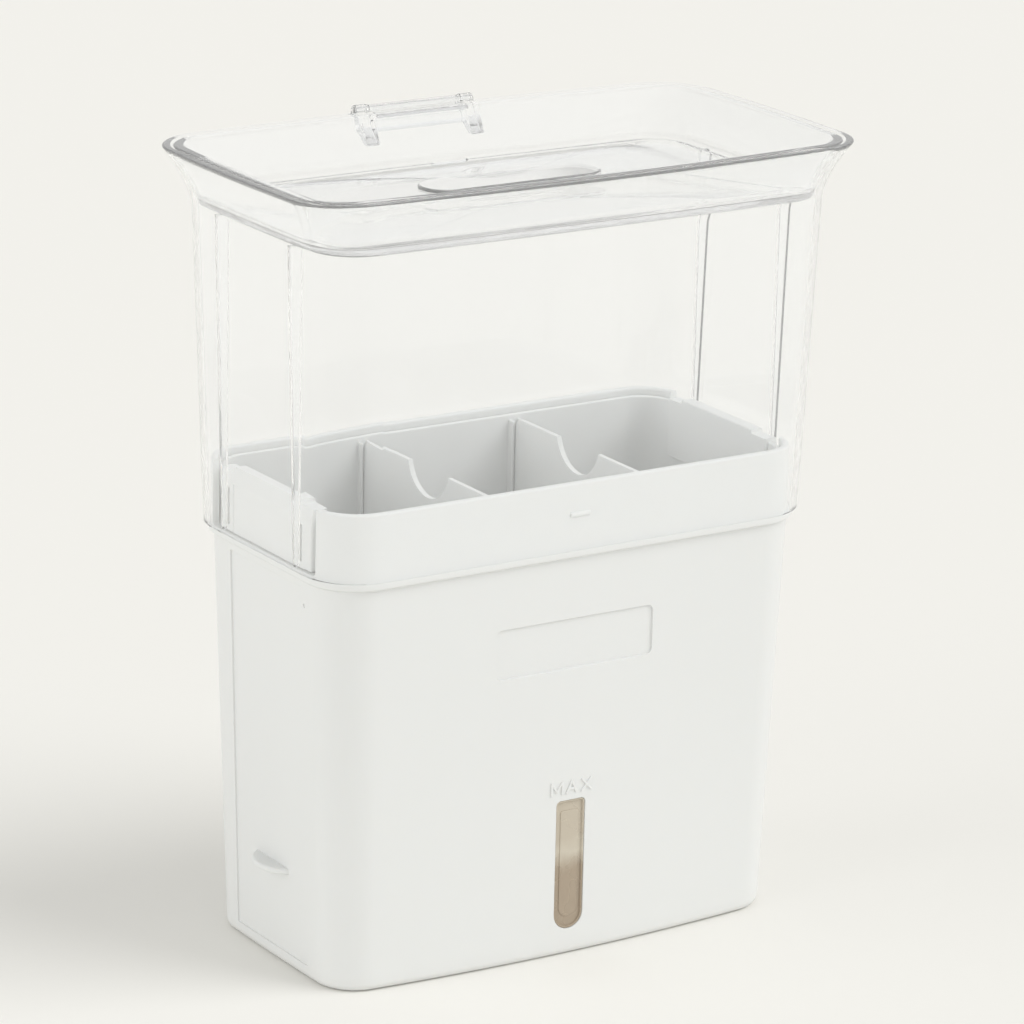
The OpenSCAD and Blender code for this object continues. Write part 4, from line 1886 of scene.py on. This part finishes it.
@dataclass
class Lid(Assembly):
    """Clear dish with a domed floor, its pad, vent and hinge barrel."""

    floor_t: float = 2.3
    dome: float = 4.2
    edge: float = 2.4
    fillet: float = 4.0
    lip: float = 0.7
    foot_in: float = 8.0
    pad: Patch = Patch(0.0, 0.0, 67.5, 17.0, (8.4,) * 4, Steps(14, 16, 1))
    pad_drop: float = 11.5
    pad_sink: float = 0.4
    vent_w: float = 14.0
    vent_d: float = 2.4
    vent_r: float = 1.18
    vent_x: float = 5.0
    vent_back: float = 15.0
    dome_rows: ClassVar[tuple[tuple[float, float], ...]] = (
        (0.04, 1.0),
        (0.2, 0.97),
        (0.36, 0.885),
        (0.52, 0.73),
        (0.66, 0.5),
        (0.78, 0.25),
    )

    def dish(self) -> bpy.types.Object:
        """The dish, through its level sections from the middle outwards.

        Returns:
            The new solid.
        """
        f = self.form
        under, lip_z = f.lid_under, f.rim_z - self.lip
        floor = under + self.floor_t
        side, corner = f.dish(under + self.edge), f.dish_in(floor + self.fillet)
        rows = [side.scaled(share, under + self.dome * up) for share, up in self.dome_rows]
        rows += [side.inset(self.foot_in).at(under)]
        rows += floor_round(side.at, under, self.edge, 6)
        rows += [f.dish(z) for z in np.linspace(under + self.edge, lip_z, 20)[1:]]
        rows += lip_round(f.dish, f.dish_in, f.rim_z, self.lip, 5)
        rows += [f.dish_in(z) for z in np.linspace(lip_z, floor + self.fillet, 16)]
        rows += floor_round(corner.at, floor, self.fillet, 8)[-2::-1]
        rows += [side.scaled(k, floor + self.dome * up) for k, up in reversed(self.dome_rows)]
        return sections_solid("lid_dish", rows)

    def build(self) -> list[bpy.types.Object]:
        """Builds the lid.

        Returns:
            The finished lid.
        """
        f = self.form
        y, z = f.hinge
        half, top = f.barrel_w / 2, f.rim_z - self.pad_drop - self.pad_sink
        dish = self.dish()
        profile = ((0.15, top - 0.3), (0.0, top - 0.18), (-0.3, top - 0.05), (-0.7, top))
        foot = ((0.3, f.lid_under + self.dome + 0.4), (0.3, top - 0.5))
        combine(dish, self.pad.solid("pad", Face.LEVEL, foot + profile), Op.JOIN)
        low = (-half, f.dish(f.rim_z).depth / 2 - f.lid_lip / 2, z - f.barrel_r)
        combine(dish, soft_block("tongue", low, (half, y, z), 0.25), Op.JOIN)
        barrel = round_bar("barrel", Face.END, (y, z), (-half, half), f.barrel_r)
        combine(dish, barrel, Op.JOIN)
        bore = round_bar("bore", Face.END, (y, z), (-half - 1, half + 1), f.bore_r, 0.05)
        combine(dish, bore, Op.CUT)
        middle_y = f.rim_d / 2 - self.vent_back
        radii = (self.vent_r,) * 4
        vent = Patch(self.vent_x, middle_y, self.vent_w, self.vent_d, radii, Steps(8, 6, 1))
        levels = ((0.0, f.lid_under - 2), (0.0, f.lid_under + 9))
        combine(dish, vent.solid("vent", Face.LEVEL, levels), Op.CUT)
        return [self.hand_over(dish, "lid", "clear_plastic", self.finishes.clear, "lid")]


# --------------------------------------------------------------------------
# Studio
# --------------------------------------------------------------------------


@dataclass(frozen=True)
class Camera:
    """Camera fitted to the photograph."""

    place: tuple[float, float, float] = (-869.07, -1359.40, 630.95)
    right: tuple[float, float, float] = (0.84480, -0.53466, 0.02134)
    up: tuple[float, float, float] = (0.13758, 0.25557, 0.95695)
    back: tuple[float, float, float] = (-0.51710, -0.80549, 0.28947)
    lens: float = 177.0
    sensor: float = 36.0
    nearest: float = 0.05
    farthest: float = 60.0

    def build(self) -> None:
        """Makes the camera and sets it as the scene's."""
        data = bpy.data.cameras.new("photo_camera")
        data.lens, data.sensor_width = self.lens, self.sensor
        data.clip_start, data.clip_end = self.nearest, self.farthest
        camera = bpy.data.objects.new("photo_camera", data)
        turn = Matrix((self.right, self.up, self.back)).transposed().to_4x4()
        camera.matrix_world = Matrix.Translation(Vector(self.place) * MM) @ turn
        bpy.context.scene.collection.objects.link(camera)
        bpy.context.scene.camera = camera


@dataclass(frozen=True)
class SoftSun:
    """A wide, even light from one direction, kept out of the clear plastic."""

    name: str
    comes_from: tuple[float, float, float]
    angle: float
    strength: float

    def build(self) -> None:
        """Makes the lamp."""
        data = bpy.data.lights.new(self.name, "SUN")
        data.energy = self.strength
        data.angle = math.radians(self.angle)
        lamp = bpy.data.objects.new(self.name, data)
        lamp.visible_glossy = False
        lamp.visible_transmission = False
        aim = -Vector(self.comes_from)
        lamp.matrix_world = aim.to_track_quat("-Z", "Y").to_matrix().to_4x4()
        bpy.context.scene.collection.objects.link(lamp)


@dataclass
class Studio:
    """Plain pale floor, two soft lights and a pale surround."""

    reach: float = 30.0
    level_sky: Colour = (0.875, 0.876, 0.87)
    top_sky: Colour = (0.555, 0.553, 0.54)
    lights: tuple[SoftSun, ...] = (
        SoftSun("key_light", (0.62, -0.60, 0.80), 40.0, 1.28),
        SoftSun("side_light", (-1.0, 0.1, 0.22), 55.0, 0.80),
    )

    def floor(self) -> None:
        """A wide level sheet under the keeper."""
        r = self.reach
        mesh = bpy.data.meshes.new("studio_floor")
        mesh.from_pydata([(-r, -r, 0), (r, -r, 0), (r, r, 0), (-r, r, 0)], [], [(0, 1, 2, 3)])
        sheet = new_object("studio_floor", mesh)
        dress(sheet, StudioFloor().build())

    def world(self) -> None:
        """A pale surround, dimmer overhead."""
        world = bpy.data.worlds.new("studio")
        world.use_nodes = True
        n = Nodes(world.node_tree)
        n.tree.nodes.clear()
        place = n.node("ShaderNodeTexCoord").outputs["Generated"]
        up = n.node("ShaderNodeSeparateXYZ", {"Vector": place}).outputs["Z"]
        sky = n.mix(up, self.level_sky, self.top_sky)
        glow = n.node("ShaderNodeBackground", {"Color": sky, "Strength": 1.0})
        n.node("ShaderNodeOutputWorld", {"Surface": glow})
        bpy.context.scene.world = world

    def build(self) -> None:
        """Builds the floor, the surround and the lamps."""
        self.floor()
        self.world()
        for light in self.lights:
            light.build()
        bpy.context.scene.view_settings.view_transform = "Standard"


def main() -> None:
    """Builds every sub-assembly in order and reports its pieces, then the studio."""
    logging.basicConfig(level=logging.INFO, format="%(name)s: %(message)s")
    shared = (Form(), Finishes(), CopyTree())
    parts: tuple[Assembly, ...] = (
        Reservoir(*shared),
        WindowSet(*shared),
        Basket(*shared),
        Divider(*shared, side=Side.LEFT),
        Divider(*shared, side=Side.RIGHT),
        Hood(*shared),
        Lid(*shared),
    )
    for part in parts:
        for piece in part.build():
            log.info("%s: %d faces", piece.name, len(piece.data.polygons))
    Camera().build()
    Studio().build()


if __name__ == "__main__":
    main()
